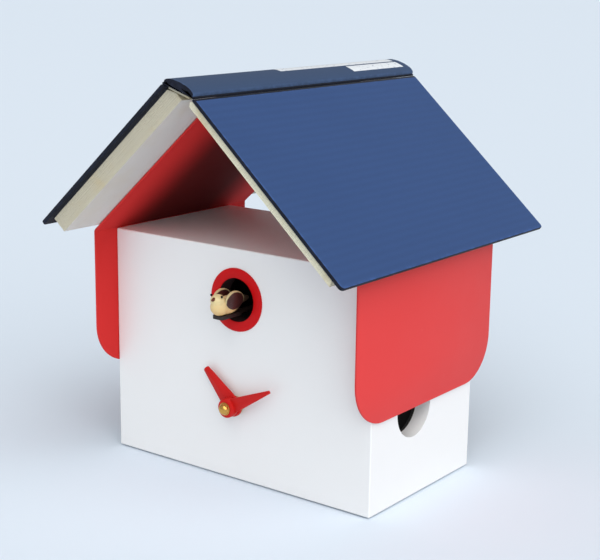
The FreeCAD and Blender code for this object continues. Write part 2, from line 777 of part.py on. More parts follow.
def perch(body):
    half = PERCH_THICK / 2
    low = perch_line() - half
    tip = front - PERCH_REACH
    plank = block(-PERCH_WIDTH / 2, PERCH_WIDTH / 2, tip, tip + PERCH_LENGTH, low, low + PERCH_THICK)
    rod = bar_y(PERCH_RADIUS, tip + PERCH_LENGTH - 3.0, carriage_back() - 5.0, 0, perch_line())
    return joined([rod, plank]).cut(body)


def rack_outline():
    """Rack teeth along Y, pointing +X, with a tooth on the drive gear's centre line."""
    pitch = math.pi * RACK_MODULE
    tip = rack_line + 0.7 * RACK_MODULE
    root = rack_line - 0.95 * RACK_MODULE
    first = drive_y - (rack_teeth - 1) * pitch
    points = [(CARRIAGE_WIDTH / 2 - 1, first - pitch / 2)]
    for i in range(rack_teeth):
        y = first + i * pitch
        points += [(root, y - 1.1), (tip, y - 0.38), (tip, y + 0.38), (root, y + 1.1)]
    points.append((root, drive_y + pitch / 2))
    points.append((CARRIAGE_WIDTH / 2 - 1, drive_y + pitch / 2))
    points.append((CARRIAGE_WIDTH / 2 - 1, carriage_back()))
    return points


def carriage():
    half = CARRIAGE_WIDTH / 2
    low = rod_z - CARRIAGE_HEIGHT / 2
    high = rod_z + CARRIAGE_HEIGHT / 2
    deck = block(-half, half, carriage_front, carriage_back(), low, high)
    mast = block(-3, 3, carriage_back() - 9, carriage_back() - 2, high - 1, perch_line() + 3)
    rack = prism_z(rack_outline(), low, low + 4)
    body = joined([deck, mast, rack])
    cuts = [bar_y(ROD_RADIUS + RUNNING, carriage_front - 1, carriage_back() + 1, x, rod_z)
            for x in (-ROD_SPREAD, ROD_SPREAD)]
    cuts.append(bar_y(PERCH_RADIUS, inner_front, carriage_back() - 5.0, 0, perch_line()))
    return body.cut(cuts)


def frame_end():
    return carriage_back() + TRAVEL + 4.0


def guide_rods():
    end = frame_end() + FRAME_THICK
    return group([bar_y(ROD_RADIUS, inner_front, end, x, rod_z) for x in (-ROD_SPREAD, ROD_SPREAD)])


def frame_screw_places():
    return [(x, z) for x in (-21.0, 21.0) for z in (tray_top - 6.0, tray_top + 5.0)]


def cuckoo_frame():
    low = tray_top - FRAME_THICK
    end = frame_end() + FRAME_THICK
    deck = block(-20, drive_x + 11, inner_front, end, low, tray_top)
    plate = block(-25, 25, inner_front, inner_front + FRAME_THICK, low - 7, rod_z + 4)
    bridge = block(-13, 13, frame_end(), end, tray_top - 1, rod_z + 5)
    body = joined([deck, plate, bridge])
    cuts = [bar_y(ROD_RADIUS, inner_front - 1, end + 1, x, rod_z) for x in (-ROD_SPREAD, ROD_SPREAD)]
    plate_back = inner_front + FRAME_THICK + 1
    cuts += [bar_y(1.2, inner_front - 1, plate_back, x, z) for x, z in frame_screw_places()]
    cuts.append(bar_z(3.0, low - 1, tray_top + 1, drive_x, drive_y))
    return body.cut(cuts)


def frame_screws():
    screws = []
    seat = inner_front + FRAME_THICK
    for x, z in frame_screw_places():
        shank = bar_y(1.2, inner_front - 4.5, seat, x, z)
        screws.append(joined([shank, bar_y(2.4, seat, seat + 1.2, x, z)]))
    return group(screws)


def drive_gear():
    low = tray_top + 1.2
    outline = toothed(DRIVE_TEETH, RACK_MODULE, 180 + 180 / DRIVE_TEETH)
    points = [(drive_x + u, drive_y + v) for u, v in outline]
    wheel = prism_z(points, low, low + 3.6)
    return wheel.cut(bar_z(1.0 + RUNNING / 2, low - 1, low + 5, drive_x, drive_y))


def gear_motor():
    top = tray_top - FRAME_THICK
    gearbox = block(drive_x - 9, drive_x + 9, drive_y - 9, drive_y + 9, top - 9, top)
    can = bar_z(8.0, top - 26, top - 9, drive_x, drive_y)
    shaft = bar_z(1.0, top, tray_top + 4.5, drive_x, drive_y)
    collar = bar_z(2.6, top, tray_top + 1.0, drive_x, drive_y)
    return joined([gearbox, can, collar, shaft])


# ---------------------------------------------------------------- sound and power


def speaker_face():
    return inner_half - GASKET - ACOUSTIC_CLOTH


def speaker_basket():
    x = speaker_face()
    rim = SOUND_RADIUS + 0.3 + GASKET_WIDTH
    profile = [(SOUND_RADIUS, x), (rim, x), (rim, x - 1.5), (SOUND_RADIUS + 1.2, x - 1.5), (12.0, x - 12)]
    profile += [(5.2, x - 12), (5.2, x - 10.8), (11.0, x - 10.8), (SOUND_RADIUS, x - 1.8)]
    return turned_x(profile, sound_y, SOUND_HEIGHT)


def speaker_cone():
    x = speaker_face()
    rim = SOUND_RADIUS - 0.1
    profile = [(rim, x - 0.4), (rim, x - 0.9), (rim - 1.3, x - 1.3), (4.8, x - 8.2), (0.0, x - 6.0)]
    profile += [(0.0, x - 5.5), (4.8, x - 7.4), (rim - 1.5, x - 0.6)]
    return turned_x(profile, sound_y, SOUND_HEIGHT)


def speaker_magnet():
    x = speaker_face() - 12
    can = bar_x(12.0, x - 7, x, sound_y, SOUND_HEIGHT)
    pole = bar_x(3.2, x, x + 3.0, sound_y, SOUND_HEIGHT)
    return joined([can, pole])


def slider_place():
    return TRAY_X - 10.0, ceiling - BLOCK_SIZE - MAIN_HALF_HEIGHT - 1.5


def main_board():
    sx, sz = slider_place()
    y1 = cover_in - BOARD_STANDOFF
    y0 = y1 - BOARD_THICK
    board = block(sx - 26, sx + 30, y0, y1, sz - MAIN_HALF_HEIGHT, sz + MAIN_HALF_HEIGHT)
    chip = block(sx + 8, sx + 18, y0 - 2.2, y0, sz - 5, sz + 5)
    memory = block(sx - 14, sx - 8, y0 - 1.6, y0, sz - 4, sz + 4)
    can = bar_y(3.2, y0 - 8, y0, sx - 2, sz + 11)
    switch = block(sx - 5.0, sx + 5.0, y1, y1 + SWITCH_HEIGHT, sz - 2.6, sz + 2.6)
    return joined([board, chip, memory, can, switch])


def board_spacers():
    sx, sz = slider_place()
    spots = [(sx + dx, sz + dz) for dx in (-22, 26) for dz in (-15, 15)]
    return group([bar_y(2.5, cover_in - BOARD_STANDOFF, cover_in, x, z) for x, z in spots])


def volume_slider():
    sx, sz = slider_place()
    y0 = cover_in - BOARD_STANDOFF + SWITCH_HEIGHT + 0.3
    foot = block(sx - 2.4, sx + 2.4, y0, y0 + 0.8, sz - 1.7, sz + 1.7)
    knob = block(sx - 1.8, sx + 1.8, y0 + 0.8, back - 0.4, sz - 1.7, sz + 1.7)
    return joined([foot, knob])


def tray_middle():
    _, height = tray_box()
    return TRAY_BOTTOM + TRAY_WALL + height / 2


def battery_tray():
    width, height = tray_box()
    low = tray_middle() - height / 2
    high = low + height
    x0 = TRAY_X - width / 2
    x1 = TRAY_X + width / 2
    y0 = cover_in - TRAY_DEPTH
    wall = TRAY_WALL
    outer = block(x0 - wall, x1 + wall, y0, cover_in, low - wall, high + wall)
    inner = block(x0, x1, y0 + wall, cover_in + 1, low, high)
    return outer.cut(inner)


def cell_rows():
    step = 2 * CELL_RADIUS + 0.4
    mid = tray_middle()
    return [mid + (i - (CELL_COUNT - 1) / 2) * step for i in range(CELL_COUNT)]


def cell_line():
    return cover_in - TRAY_DEPTH + TRAY_WALL + CELL_RADIUS + 0.1


def batteries():
    cells = []
    for i, z in enumerate(cell_rows()):
        way = 1 if i % 2 == 0 else -1
        x0 = TRAY_X - CELL_LENGTH / 2
        x1 = TRAY_X + CELL_LENGTH / 2
        if way > 0:
            can = bar_x(CELL_RADIUS, x0, x1 - 1.2, cell_line(), z)
            nub = bar_x(2.7, x1 - 1.2, x1, cell_line(), z)
        else:
            can = bar_x(CELL_RADIUS, x0 + 1.2, x1, cell_line(), z)
            nub = bar_x(2.7, x0, x0 + 1.2, cell_line(), z)
        cells.append(joined([can, nub]))
    return group(cells)


def battery_contacts():
    width, _ = tray_box()
    reach = (width - CELL_LENGTH) / 2
    plates = []
    for z in cell_rows():
        for side in (-1, 1):
            wall = TRAY_X + side * width / 2
            x0 = min(wall, wall - side * 0.4)
            plate = block(x0, x0 + 0.4, cell_line() - 5, cell_line() + 5, z - 5.5, z + 5.5)
            end = wall - side * (reach - 0.05)
            foot = wall - side * 0.3
            leaf = turned_x([(1.6, foot), (4.2, foot), (2.4, end), (1.6, end)], cell_line(), z)
            plates.append(joined([plate, leaf]))
    return group(plates)


def battery_lid():
    width, height = tray_box()
    mid = tray_middle()
    hw = width / 2 - LID_GAP
    hh = height / 2 - LID_GAP
    lid = block(TRAY_X - hw, TRAY_X + hw, cover_in + 0.4, cover_out, mid - hh, mid + hh)
    grip = block(TRAY_X - 8, TRAY_X + 8, cover_out - 1.2, cover_out + 1, mid + hh - 6, mid + hh - 2)
    return lid.cut(grip)


def build():
    save("front_panel", front_panel())
    save("left_panel", side_panel(-1))
    save("right_panel", side_panel(1))
    save("top_panel", level_panel(CASE_TOP, ceiling))
    save("bottom_panel", level_panel(case_bottom, floor))
    save("base_sheet", base_sheet())
    save("corner_blocks", corner_blocks())
    save("back_cover", back_cover())
    save("back_screws", back_screws())
    save("bird_ring", bird_ring())
    save("sound_gaskets", group([sound_gasket(-1), sound_gasket(1)]))
    save("sound_cloths", group([sound_cloth(-1), sound_cloth(1)]))
    save("saddle", saddle())
    save("adhesive_pads", adhesive_pads())
    save("left_cover", cover(-1, LEFT_BOARD_START, LEFT_PAGES))
    save("right_cover", cover(1, RIGHT_BOARD_START, RIGHT_PAGES))
    save("left_pages", left_pages())
    save("right_pages", right_pages())
    save("spine_strip", spine_strip())
    save("movement_front_shell", movement_front_shell())
    save("movement_rear_shell", movement_rear_shell())
    save("movement_nut", movement_nut())
    save("movement_board", movement_board())
    save("stator", stator())
    save("coil", coil())
    save("rotor", rotor())
    save("third_wheel", third_wheel())
    save("centre_wheel", centre_wheel())
    save("motion_wheel", motion_wheel())
    save("hour_wheel", hour_wheel())
    save("setting_knob", setting_knob())
    save("hour_hand", hour_hand())
    save("minute_hand", minute_hand())
    save("hand_cap", hand_cap())
    body = bird_body()
    save("bird_body", body)
    save("bird_left_wing", bird_wing(-1, body))
    save("bird_right_wing", bird_wing(1, body))
    save("bird_beak", bird_beak())
    save("bird_eyes", bird_eyes())
    save("perch", perch(body))
    save("carriage", carriage())
    save("guide_rods", guide_rods())
    save("cuckoo_frame", cuckoo_frame())
    save("frame_screws", frame_screws())
    save("drive_gear", drive_gear())
    save("gear_motor", gear_motor())
    save("speaker_basket", speaker_basket())
    save("speaker_cone", speaker_cone())
    save("speaker_magnet", speaker_magnet())
    save("main_board", main_board())
    save("board_spacers", board_spacers())
    save("volume_slider", volume_slider())
    save("battery_tray", battery_tray())
    save("batteries", batteries())
    save("battery_contacts", battery_contacts())
    save("battery_lid", battery_lid())


build()
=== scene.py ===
import json
import math
import random

import bmesh
import bpy
from bpy.props import FloatProperty, FloatVectorProperty, PointerProperty
from mathutils import Matrix, Vector


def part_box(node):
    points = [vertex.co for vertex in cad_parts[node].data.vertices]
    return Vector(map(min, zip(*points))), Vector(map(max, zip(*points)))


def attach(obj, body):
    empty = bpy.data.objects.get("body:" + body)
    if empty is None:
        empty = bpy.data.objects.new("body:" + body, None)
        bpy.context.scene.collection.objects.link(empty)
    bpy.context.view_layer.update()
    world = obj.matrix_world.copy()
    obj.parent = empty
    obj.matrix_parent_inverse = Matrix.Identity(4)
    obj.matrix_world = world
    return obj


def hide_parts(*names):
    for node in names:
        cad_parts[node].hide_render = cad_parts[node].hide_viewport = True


bl_info = {
    "name": "Book Roof Cuckoo Clock",
    "version": (1, 0, 0),
    "blender": (4, 5, 0),
    "location": "View3D > Sidebar > Clock",
    "description": "Builds the pieces and finishes of a box cuckoo clock roofed by an open book",
    "category": "Add Mesh",
}

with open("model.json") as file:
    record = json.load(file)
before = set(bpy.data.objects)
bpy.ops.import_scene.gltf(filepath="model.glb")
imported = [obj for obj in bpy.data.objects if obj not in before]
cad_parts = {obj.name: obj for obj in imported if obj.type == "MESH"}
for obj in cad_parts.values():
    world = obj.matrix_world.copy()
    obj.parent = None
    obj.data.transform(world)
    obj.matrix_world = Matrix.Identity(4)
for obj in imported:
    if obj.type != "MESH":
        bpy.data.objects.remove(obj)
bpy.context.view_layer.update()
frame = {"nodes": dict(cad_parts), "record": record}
NODES = frame["nodes"]
MM = 0.001
TINY = 1e-6  # metres: closer than this counts as level
SPINE_AXIS = Vector((0, 1, 0))
DIAL_AXIS = Vector((0, -1, 0))


# ------------------------------------------------------------------ measuring the frame


def body_of(node):
    """The CAD body that holds a node."""
    for body, members in frame["record"]["behaviour"]["bodies"].items():
        if node in members:
            return body
    raise ValueError("no body holds " + node)


def slot_of(node):
    """The record's material slot of a node."""
    for entry in frame["record"]["subparts"]:
        if entry["node"] == node:
            return entry["material_slot"]
    raise ValueError("no slot is stated for " + node)


def centre_of(node):
    low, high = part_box(node)
    return (low + high) / 2


def span(node, origin, direction):
    """Least and greatest distance of a node's points along a direction."""
    reaches = [(v.co - origin).dot(direction) for v in NODES[node].data.vertices]
    return min(reaches), max(reaches)


def furthest(node, direction):
    """The point of a node that lies furthest along a direction."""
    return max((v.co for v in NODES[node].data.vertices), key=lambda co: co.dot(direction)).copy()


def extent_at(node, origin, across, level_axis, level):
    """Where a node's section at one level starts and ends along a direction."""
    mesh = NODES[node].data
    reaches = []
    for edge in mesh.edges:
        a, b = (mesh.vertices[i].co - origin for i in edge.vertices)
        la, lb = a.dot(level_axis) - level, b.dot(level_axis) - level
        if la * lb <= 0 and abs(la - lb) > 1e-9:
            reaches.append(a.lerp(b, la / (la - lb)).dot(across))
    return min(reaches), max(reaches)


def frame_matrix(first, second, third, origin):
    """Places local axes along three directions from an origin."""
    matrix = Matrix((first, second, third)).transposed().to_4x4()
    matrix.translation = origin
    return matrix


class SlopeFrame:
    """Axes of one half of the book: down the slope, along the spine, and out of the board."""

    def __init__(self, side):
        self.side = side
        half = "left" if side < 0 else "right"
        self.cover, self.pages = half + "_cover", half + "_pages"
        inner_top = furthest(self.cover, Vector((-side, 0, 0)))
        outer_top = furthest(self.cover, Vector((0, 0, 1)))
        inner_eave = furthest(self.cover, Vector((0, 0, -1)))
        self.down = Vector((inner_eave.x - inner_top.x, 0, inner_eave.z - inner_top.z)).normalized()
        self.out = Vector((outer_top.x - inner_top.x, 0, outer_top.z - inner_top.z)).normalized()
        low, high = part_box(self.cover)
        self.origin = Vector((inner_top.x, low.y, inner_top.z))
        self.length = high.y - low.y
        self.width = span(self.cover, self.origin, self.down)[1]
        self.board = span(self.cover, self.origin, self.out)[1]
        self.matrix = frame_matrix(self.down, SPINE_AXIS, self.out, self.origin)
        self.tilt = math.atan2(-self.down.z, self.down.x)


# ------------------------------------------------------------------ making meshes


def finish_piece(name, bm, body, slot, replaced=(), materials=(), smooth=35.0, recalc=True):
    """Turns a bmesh into a piece that rides on a body."""
    if recalc:
        bmesh.ops.recalc_face_normals(bm, faces=bm.faces)
    mesh = bpy.data.meshes.new(name)
    bm.to_mesh(mesh)
    bm.free()
    mesh.shade_smooth()
    mesh.set_sharp_from_angle(angle=math.radians(smooth))
    piece = bpy.data.objects.new(name, mesh)
    bpy.context.scene.collection.objects.link(piece)
    for material in materials:
        mesh.materials.append(material)
    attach(piece, body)
    if replaced:
        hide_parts(*replaced)
    return piece


def stand_in(name, bm, node, materials, smooth=35.0, recalc=True):
    """A piece that takes the place and the body of one CAD node."""
    return finish_piece(name, bm, body_of(node), slot_of(node), [node], materials, smooth, recalc)


def apply_modifiers(piece):
    """Bakes a piece's modifiers into its mesh."""
    graph = bpy.context.evaluated_depsgraph_get()
    mesh = bpy.data.meshes.new_from_object(piece.evaluated_get(graph))
    piece.modifiers.clear()
    piece.data = mesh


def add_box(bm, low, high, matrix=None):
    """Adds a box between two corners and returns its vertices."""
    low, high = Vector(low), Vector(high)
    size = high - low
    place = Matrix.Translation((low + high) / 2) @ Matrix.Diagonal((size.x, size.y, size.z, 1))
    if matrix is not None:
        place = matrix @ place
    return bmesh.ops.create_cube(bm, size=1, matrix=place)["verts"]


def add_ball(bm, centre, radii, around, rings):
    """Adds an ellipsoid."""
    matrix = Matrix.Translation(centre) @ Matrix.Diagonal((*radii, 1))
    bmesh.ops.create_uvsphere(bm, u_segments=around, v_segments=rings, radius=1, matrix=matrix)


def bevel_edges(bm, edges, width, segments=2):
    bmesh.ops.bevel(bm, geom=list(edges), offset=width, offset_type="OFFSET", segments=segments,
                    profile=0.5, affect="EDGES", material=-1, clamp_overlap=True)


def edges_of(verts):
    return list(dict.fromkeys(edge for vert in verts for edge in vert.link_edges))


def corners_over(bm, degrees):
    """Edges where two faces meet at more than an angle."""
    return [edge for edge in bm.edges if edge.calc_face_angle(0.0) > math.radians(degrees)]


def split_across(bm, point, normal):
    """Adds an edge loop where a plane cuts the mesh."""
    bmesh.ops.bisect_plane(bm, geom=bm.verts[:] + bm.edges[:] + bm.faces[:], plane_co=point,
                           plane_no=normal, dist=1e-7)


def add_turned(bm, profile, centre, axis, steps=64, closed=False):
    """Spins a profile of (radius, distance along the axis) points into a solid."""
    axis = Vector(axis).normalized()
    side = axis.orthogonal().normalized()
    verts = [bm.verts.new(centre + side * r + axis * d) for r, d in profile]
    edges = [bm.edges.new(pair) for pair in zip(verts, verts[1:])]
    if closed:
        edges.append(bm.edges.new((verts[-1], verts[0])))
    bmesh.ops.spin(bm, geom=verts + edges, cent=centre, axis=axis, dvec=(0, 0, 0),
                   angle=math.tau, steps=steps, use_merge=True, use_duplicate=False)
    bmesh.ops.remove_doubles(bm, verts=bm.verts, dist=1e-7)


def softened(node, width, materials, angle=35.0, name=None):
    """A copy of a CAD node with its sharp edges eased."""
    bm = bmesh.new()
    bm.from_mesh(NODES[node].data)
    bmesh.ops.remove_doubles(bm, verts=bm.verts, dist=2e-6)
    bmesh.ops.dissolve_limit(bm, angle_limit=math.radians(1.0), verts=bm.verts, edges=bm.edges)
    piece = stand_in(name or node + ".eased", bm, node, materials, recalc=False)
    bevel = piece.modifiers.new("ease", "BEVEL")
    bevel.width = width
    bevel.segments = 2
    bevel.limit_method = "ANGLE"
    bevel.angle_limit = math.radians(angle)
    bevel.harden_normals = False
    apply_modifiers(piece)
    piece.data.shade_smooth()
    piece.data.set_sharp_from_angle(angle=math.radians(angle))


# ------------------------------------------------------------------ making materials


class Varying:
    """A number that varies over a surface. Arithmetic on it adds Math nodes."""

    def __init__(self, paint, socket):
        self.paint = paint
        self.socket = socket

    def maths(self, operation, *values):
        node = self.paint.node("ShaderNodeMath", {"operation": operation}, dict(enumerate(values)))
        return Varying(self.paint, node.outputs[0])

    def __add__(self, other):
        return self.maths("ADD", self, other)

    def __radd__(self, other):
        return self.maths("ADD", other, self)

    def __sub__(self, other):
        return self.maths("SUBTRACT", self, other)

    def __rsub__(self, other):
        return self.maths("SUBTRACT", other, self)

    def __mul__(self, other):
        return self.maths("MULTIPLY", self, other)

    def __rmul__(self, other):
        return self.maths("MULTIPLY", other, self)

    def __truediv__(self, other):
        return self.maths("DIVIDE", self, other)

    def __rtruediv__(self, other):
        return self.maths("DIVIDE", other, self)

    def __gt__(self, other):
        return self.maths("GREATER_THAN", self, other)

    def __lt__(self, other):
        return self.maths("LESS_THAN", self, other)

    def __abs__(self):
        return self.maths("ABSOLUTE", self)

    def root(self):
        return self.maths("SQRT", self)


class Paint:
    """Builds the nodes of one material around a Principled shader."""

    def __init__(self, name, colour, roughness, metallic=0.0, **uniform):
        self.material = bpy.data.materials.new(name)
        self.material.use_nodes = True
        self.tree = self.material.node_tree
        self.shader = self.tree.nodes["Principled BSDF"]
        self.shader.inputs["Base Color"].default_value = (*colour[:3], 1)
        self.shader.inputs["Roughness"].default_value = roughness
        self.shader.inputs["Metallic"].default_value = metallic
        for label, value in uniform.items():
            self.shader.inputs[label.replace("_", " ")].default_value = value

    def node(self, kind, settings=None, sockets=None):
        """Adds a node, sets its settings, then fills its sockets with values or links."""
        node = self.tree.nodes.new(kind)
        for label, value in (settings or {}).items():
            setattr(node, label, value)
        for key, value in (sockets or {}).items():
            self.fill(node.inputs[key], value)
        return node

    def fill(self, socket, value):
        if isinstance(value, Varying):
            value = value.socket
        if isinstance(value, bpy.types.NodeSocket):
            self.tree.links.new(value, socket)
        elif socket.type == "RGBA" and len(value) == 3:
            socket.default_value = (*value, 1)
        else:
            socket.default_value = value

    def place(self, centre=(0, 0, 0), turn=(0, 0, 0), stretch=(1, 1, 1)):
        """Object coordinates, centred, turned and stretched."""
        source = self.node("ShaderNodeTexCoord").outputs["Object"]
        moved = self.node("ShaderNodeVectorMath", {"operation": "SUBTRACT"},
                          {0: source, 1: tuple(centre)})
        turned = self.node("ShaderNodeMapping", {"vector_type": "POINT"},
                           {"Vector": moved.outputs[0], "Rotation": turn, "Scale": stretch})
        return turned.outputs[0]

    def varying(self, kind, settings, sockets, output="Fac"):
        return Varying(self, self.node(kind, settings, sockets).outputs[output])

    def parts(self, vector):
        node = self.node("ShaderNodeSeparateXYZ", None, {0: vector})
        return [Varying(self, socket) for socket in node.outputs]

    def noise(self, vector, scale, detail=3.0, rough=0.5, distortion=0.0):
        return self.varying("ShaderNodeTexNoise", None,
                            {"Vector": vector, "Scale": scale, "Detail": detail,
                             "Roughness": rough, "Distortion": distortion})

    def layers(self, value, scale, detail):
        """Noise that changes with one number only, such as the rings of a turned piece."""
        return self.varying("ShaderNodeTexNoise", {"noise_dimensions": "1D"},
                            {"W": value, "Scale": scale, "Detail": detail})

    def cells(self, vector, scale):
        return self.varying("ShaderNodeTexVoronoi", None, {"Vector": vector, "Scale": scale}, "Distance")

    def bands(self, vector, direction, period, distortion=0.0):
        """Even threads or lines, one every period metres."""
        return self.varying("ShaderNodeTexWave", {"wave_type": "BANDS", "bands_direction": direction},
                            {"Vector": vector, "Scale": math.tau / 20 / period, "Distortion": distortion,
                             "Detail": 1.0, "Detail Scale": 1.0})

    def ramp(self, value, low, high):
        """0 below low, 1 above high, and smooth between."""
        return self.varying("ShaderNodeMapRange", {"interpolation_type": "SMOOTHSTEP"},
                            {"Value": value, "From Min": low, "From Max": high}, "Result")

    def blend(self, share, first, second):
        """Mixes two colours."""
        node = self.node("ShaderNodeMix", {"data_type": "RGBA"}, {"Factor": share})
        ends = [socket for socket in node.inputs if socket.name in "AB" and socket.type == "RGBA"]
        for socket, value in zip(ends, (first, second)):
            self.fill(socket, value)
        return next(socket for socket in node.outputs if socket.type == "RGBA")

    def layered(self, colour, *layers):
        """Lays tints over a colour in turn, each by its share."""
        for share, tint in layers:
            colour = self.blend(share, colour, tint)
        return colour

    def finished(self, colour, roughness=None, height=None, depth=0.0, strength=1.0):
        """Links the colour, roughness and relief, and returns the material."""
        inputs = self.shader.inputs
        self.fill(inputs["Base Color"], colour)
        if roughness is not None:
            self.fill(inputs["Roughness"], roughness)
        if height is not None:
            bump = self.node("ShaderNodeBump", None,
                             {"Height": height, "Distance": depth, "Strength": strength})
            self.fill(inputs["Normal"], bump.outputs[0])
        return self.material


def shade(colour, factor):
    return tuple(min(1.0, c * factor) for c in colour[:3])


def lacquered_board(case):
    """White lacquer outside with painted light on the top face, bare brown fibreboard on the inner faces."""
    skin = 0.2 * MM
    paint = Paint("white_lacquer", case.lacquer, 0.36, Specular_IOR_Level=0.45)
    where = paint.place()
    x, y, z = paint.parts(where)
    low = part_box("bottom_panel")[1].z + skin
    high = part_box("top_panel")[0].z - skin
    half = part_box("right_panel")[0].x + skin
    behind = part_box("front_panel")[1].y - 1.5 * skin
    inside = (abs(x) < half) * (y > behind) * (z > low - 2 * skin) * (z < high + 2 * skin)
    cloud = paint.noise(where, 14.0, 4.0, 0.55)
    speck = paint.ramp(paint.cells(where, 260.0), 0.035, 0.02)
    speck = speck * paint.ramp(paint.noise(where, 40.0), 0.62, 0.7)
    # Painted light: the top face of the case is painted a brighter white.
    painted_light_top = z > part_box("top_panel")[1].z - 0.3 * MM
    scuff = paint.ramp(paint.noise(where, 55.0, 6.0, 0.7), 0.66, 0.78) * paint.ramp(z, 14 * MM, 2 * MM)
    fibres = paint.noise(paint.place(stretch=(1.0, 1.0, 3.0)), 420.0, 5.0, 0.7)
    bare = paint.blend(fibres, (0.1, 0.062, 0.035), (0.2, 0.13, 0.08))
    colour = paint.layered(case.lacquer, (cloud * 0.6, shade(case.lacquer, 0.965)),
                           (painted_light_top * 0.9, (0.96, 0.96, 0.96)), (speck * 0.25, (0.55, 0.53, 0.5)),
                           (scuff * 0.18, (0.5, 0.48, 0.45)), (inside, bare))
    orange_peel = paint.noise(where, 420.0, 2.0, 0.4)
    return paint.finished(colour, 0.3 + 0.1 * paint.noise(where, 30.0, 3.0) + inside * 0.4,
                          orange_peel + 0.5 * paint.noise(where, 60.0, 2.0), 0.03 * MM, 0.35)


def felt():
    paint = Paint("base_felt", (0.02, 0.02, 0.022), 0.95, Sheen_Weight=0.4)
    fuzz = paint.noise(paint.place(), 1400.0, 4.0, 0.7)
    return paint.finished(paint.blend(fuzz, (0.012, 0.012, 0.014), (0.05, 0.05, 0.052)),
                          None, fuzz, 0.15 * MM)


def powder_coat(case):
    """Satin baked powder on sheet steel, rubbed in places, with painted shade on its inner side, darkest deep
    inside the gable.
    """
    skin = 0.8 * MM
    red, green, blue = case.steel
    paint = Paint("red_powder_coat", case.steel, 0.5, Specular_IOR_Level=0.2)
    where = paint.place()
    cloud = paint.noise(where, 9.0, 4.0, 0.55)
    rubbed = paint.ramp(paint.noise(where, 70.0, 6.0, 0.7), 0.63, 0.74)
    x, y, z = paint.parts(where)
    out = SlopeFrame(1).out
    surface = max(abs(v.co.x) * out.x + v.co.z * out.z for v in NODES["saddle"].data.vertices)
    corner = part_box("saddle")[1]
    inside = (surface - (abs(x) * out.x + z * out.z) > skin) * (abs(x) < corner.x - skin)
    painted_shade_depth = paint.ramp(abs(y) + cloud * 12 * MM, corner.y, corner.y * 0.4)
    painted_shade_depth = painted_shade_depth * (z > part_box("top_panel")[1].z)
    # Painted shade: the inner faces get a deeper red, and deep inside the gable above the case a near-black
    # red.
    colour = paint.layered(case.steel, (cloud * 0.5, shade(case.steel, 0.9)),
                           (rubbed * 0.08, (0.85, 0.3, 0.27)),
                           (inside * 0.6, (red * 0.8, green * 0.18, blue * 0.15)),
                           (inside * painted_shade_depth * 0.86, shade(case.steel, 0.06)))
    return paint.finished(colour, 0.46 + 0.14 * paint.noise(where, 45.0, 4.0) + 0.3 * inside,
                          paint.noise(where, 1100.0, 2.0, 0.5) + 0.6 * paint.cells(where, 900.0),
                          0.035 * MM, 0.6)


def gloss_enamel(name, colour, roughness):
    """Moulded gloss plastic with faint flow marks and fine handling marks."""
    paint = Paint(name, colour, roughness, Specular_IOR_Level=0.12)
    flow = paint.noise(paint.place(), 70.0, 3.0, 0.5, 0.6)
    marks = paint.ramp(paint.noise(paint.place(stretch=(1, 1, 6)), 380.0, 6.0, 0.7), 0.6, 0.72)
    return paint.finished(paint.blend(flow * 0.6, colour[:3], shade(colour, 0.8)),
                          roughness + 0.08 * flow + 0.12 * marks, flow + 0.3 * marks, 0.02 * MM, 0.4)


def polished_brass(name, colour, centre, lathe=True):
    """Turned brass: fine rings round its axis, and a little tarnish."""
    paint = Paint(name, colour, 0.2, 1.0)
    where = paint.place(centre)
    x, _, z = paint.parts(where)
    rings = paint.layers((x * x + z * z).root(), 9000.0, 2.0)
    tarnish = paint.ramp(paint.noise(where, 240.0, 5.0, 0.65), 0.48, 0.7)
    return paint.finished(paint.blend(tarnish * 0.6, colour, (0.42, 0.25, 0.08)),
                          0.14 + 0.12 * rings + 0.2 * tarnish, rings if lathe else None, 0.006 * MM, 0.5)


def book_cloth(name, cloth, thread, tilt, centre):
    """Woven book cloth: two sets of threads, slubs, rubbed nap and soft fading."""
    base = tuple(cloth)
    turn = (0, tilt, 0)
    wobble = 0.35
    paint = Paint(name, base, 0.72, Sheen_Weight=0.06, Sheen_Roughness=0.45, Specular_IOR_Level=0.22)
    where = paint.place(centre, turn)
    warp = paint.bands(where, "X", thread, wobble)
    weft = paint.bands(where, "Y", thread * 1.12, wobble)
    weave = (warp + weft) * 0.5
    slub = paint.noise(paint.place(centre, turn, (1.0, 0.3, 1.0)), 1500.0, 2.0)
    slub = slub + paint.noise(paint.place(centre, turn, (0.3, 1.0, 1.0)), 1500.0, 2.0)
    cloud = paint.noise(where, 16.0, 5.0, 0.6)
    fleck = paint.ramp(paint.noise(where, 700.0, 3.0, 0.7), 0.6, 0.75)
    wear = paint.varying("ShaderNodeAttribute", {"attribute_name": "wear"}, None)
    rubbed = wear * paint.ramp(paint.noise(where, 160.0, 5.0, 0.7), 0.42, 0.62)
    colour = paint.layered(shade(base, 0.86), (weave * 0.3 + slub * 0.05, shade(base, 1.3)),
                           (paint.ramp(cloud, 0.35, 0.7) * 0.16, shade(base, 0.78)),
                           (fleck * 0.1, shade(base, 1.9)), (rubbed * 0.5, shade(base, 2.4)))
    return paint.finished(colour, 0.66 + 0.12 * cloud + 0.08 * weave, weave + slub * 0.08, 0.04 * MM, 0.5)


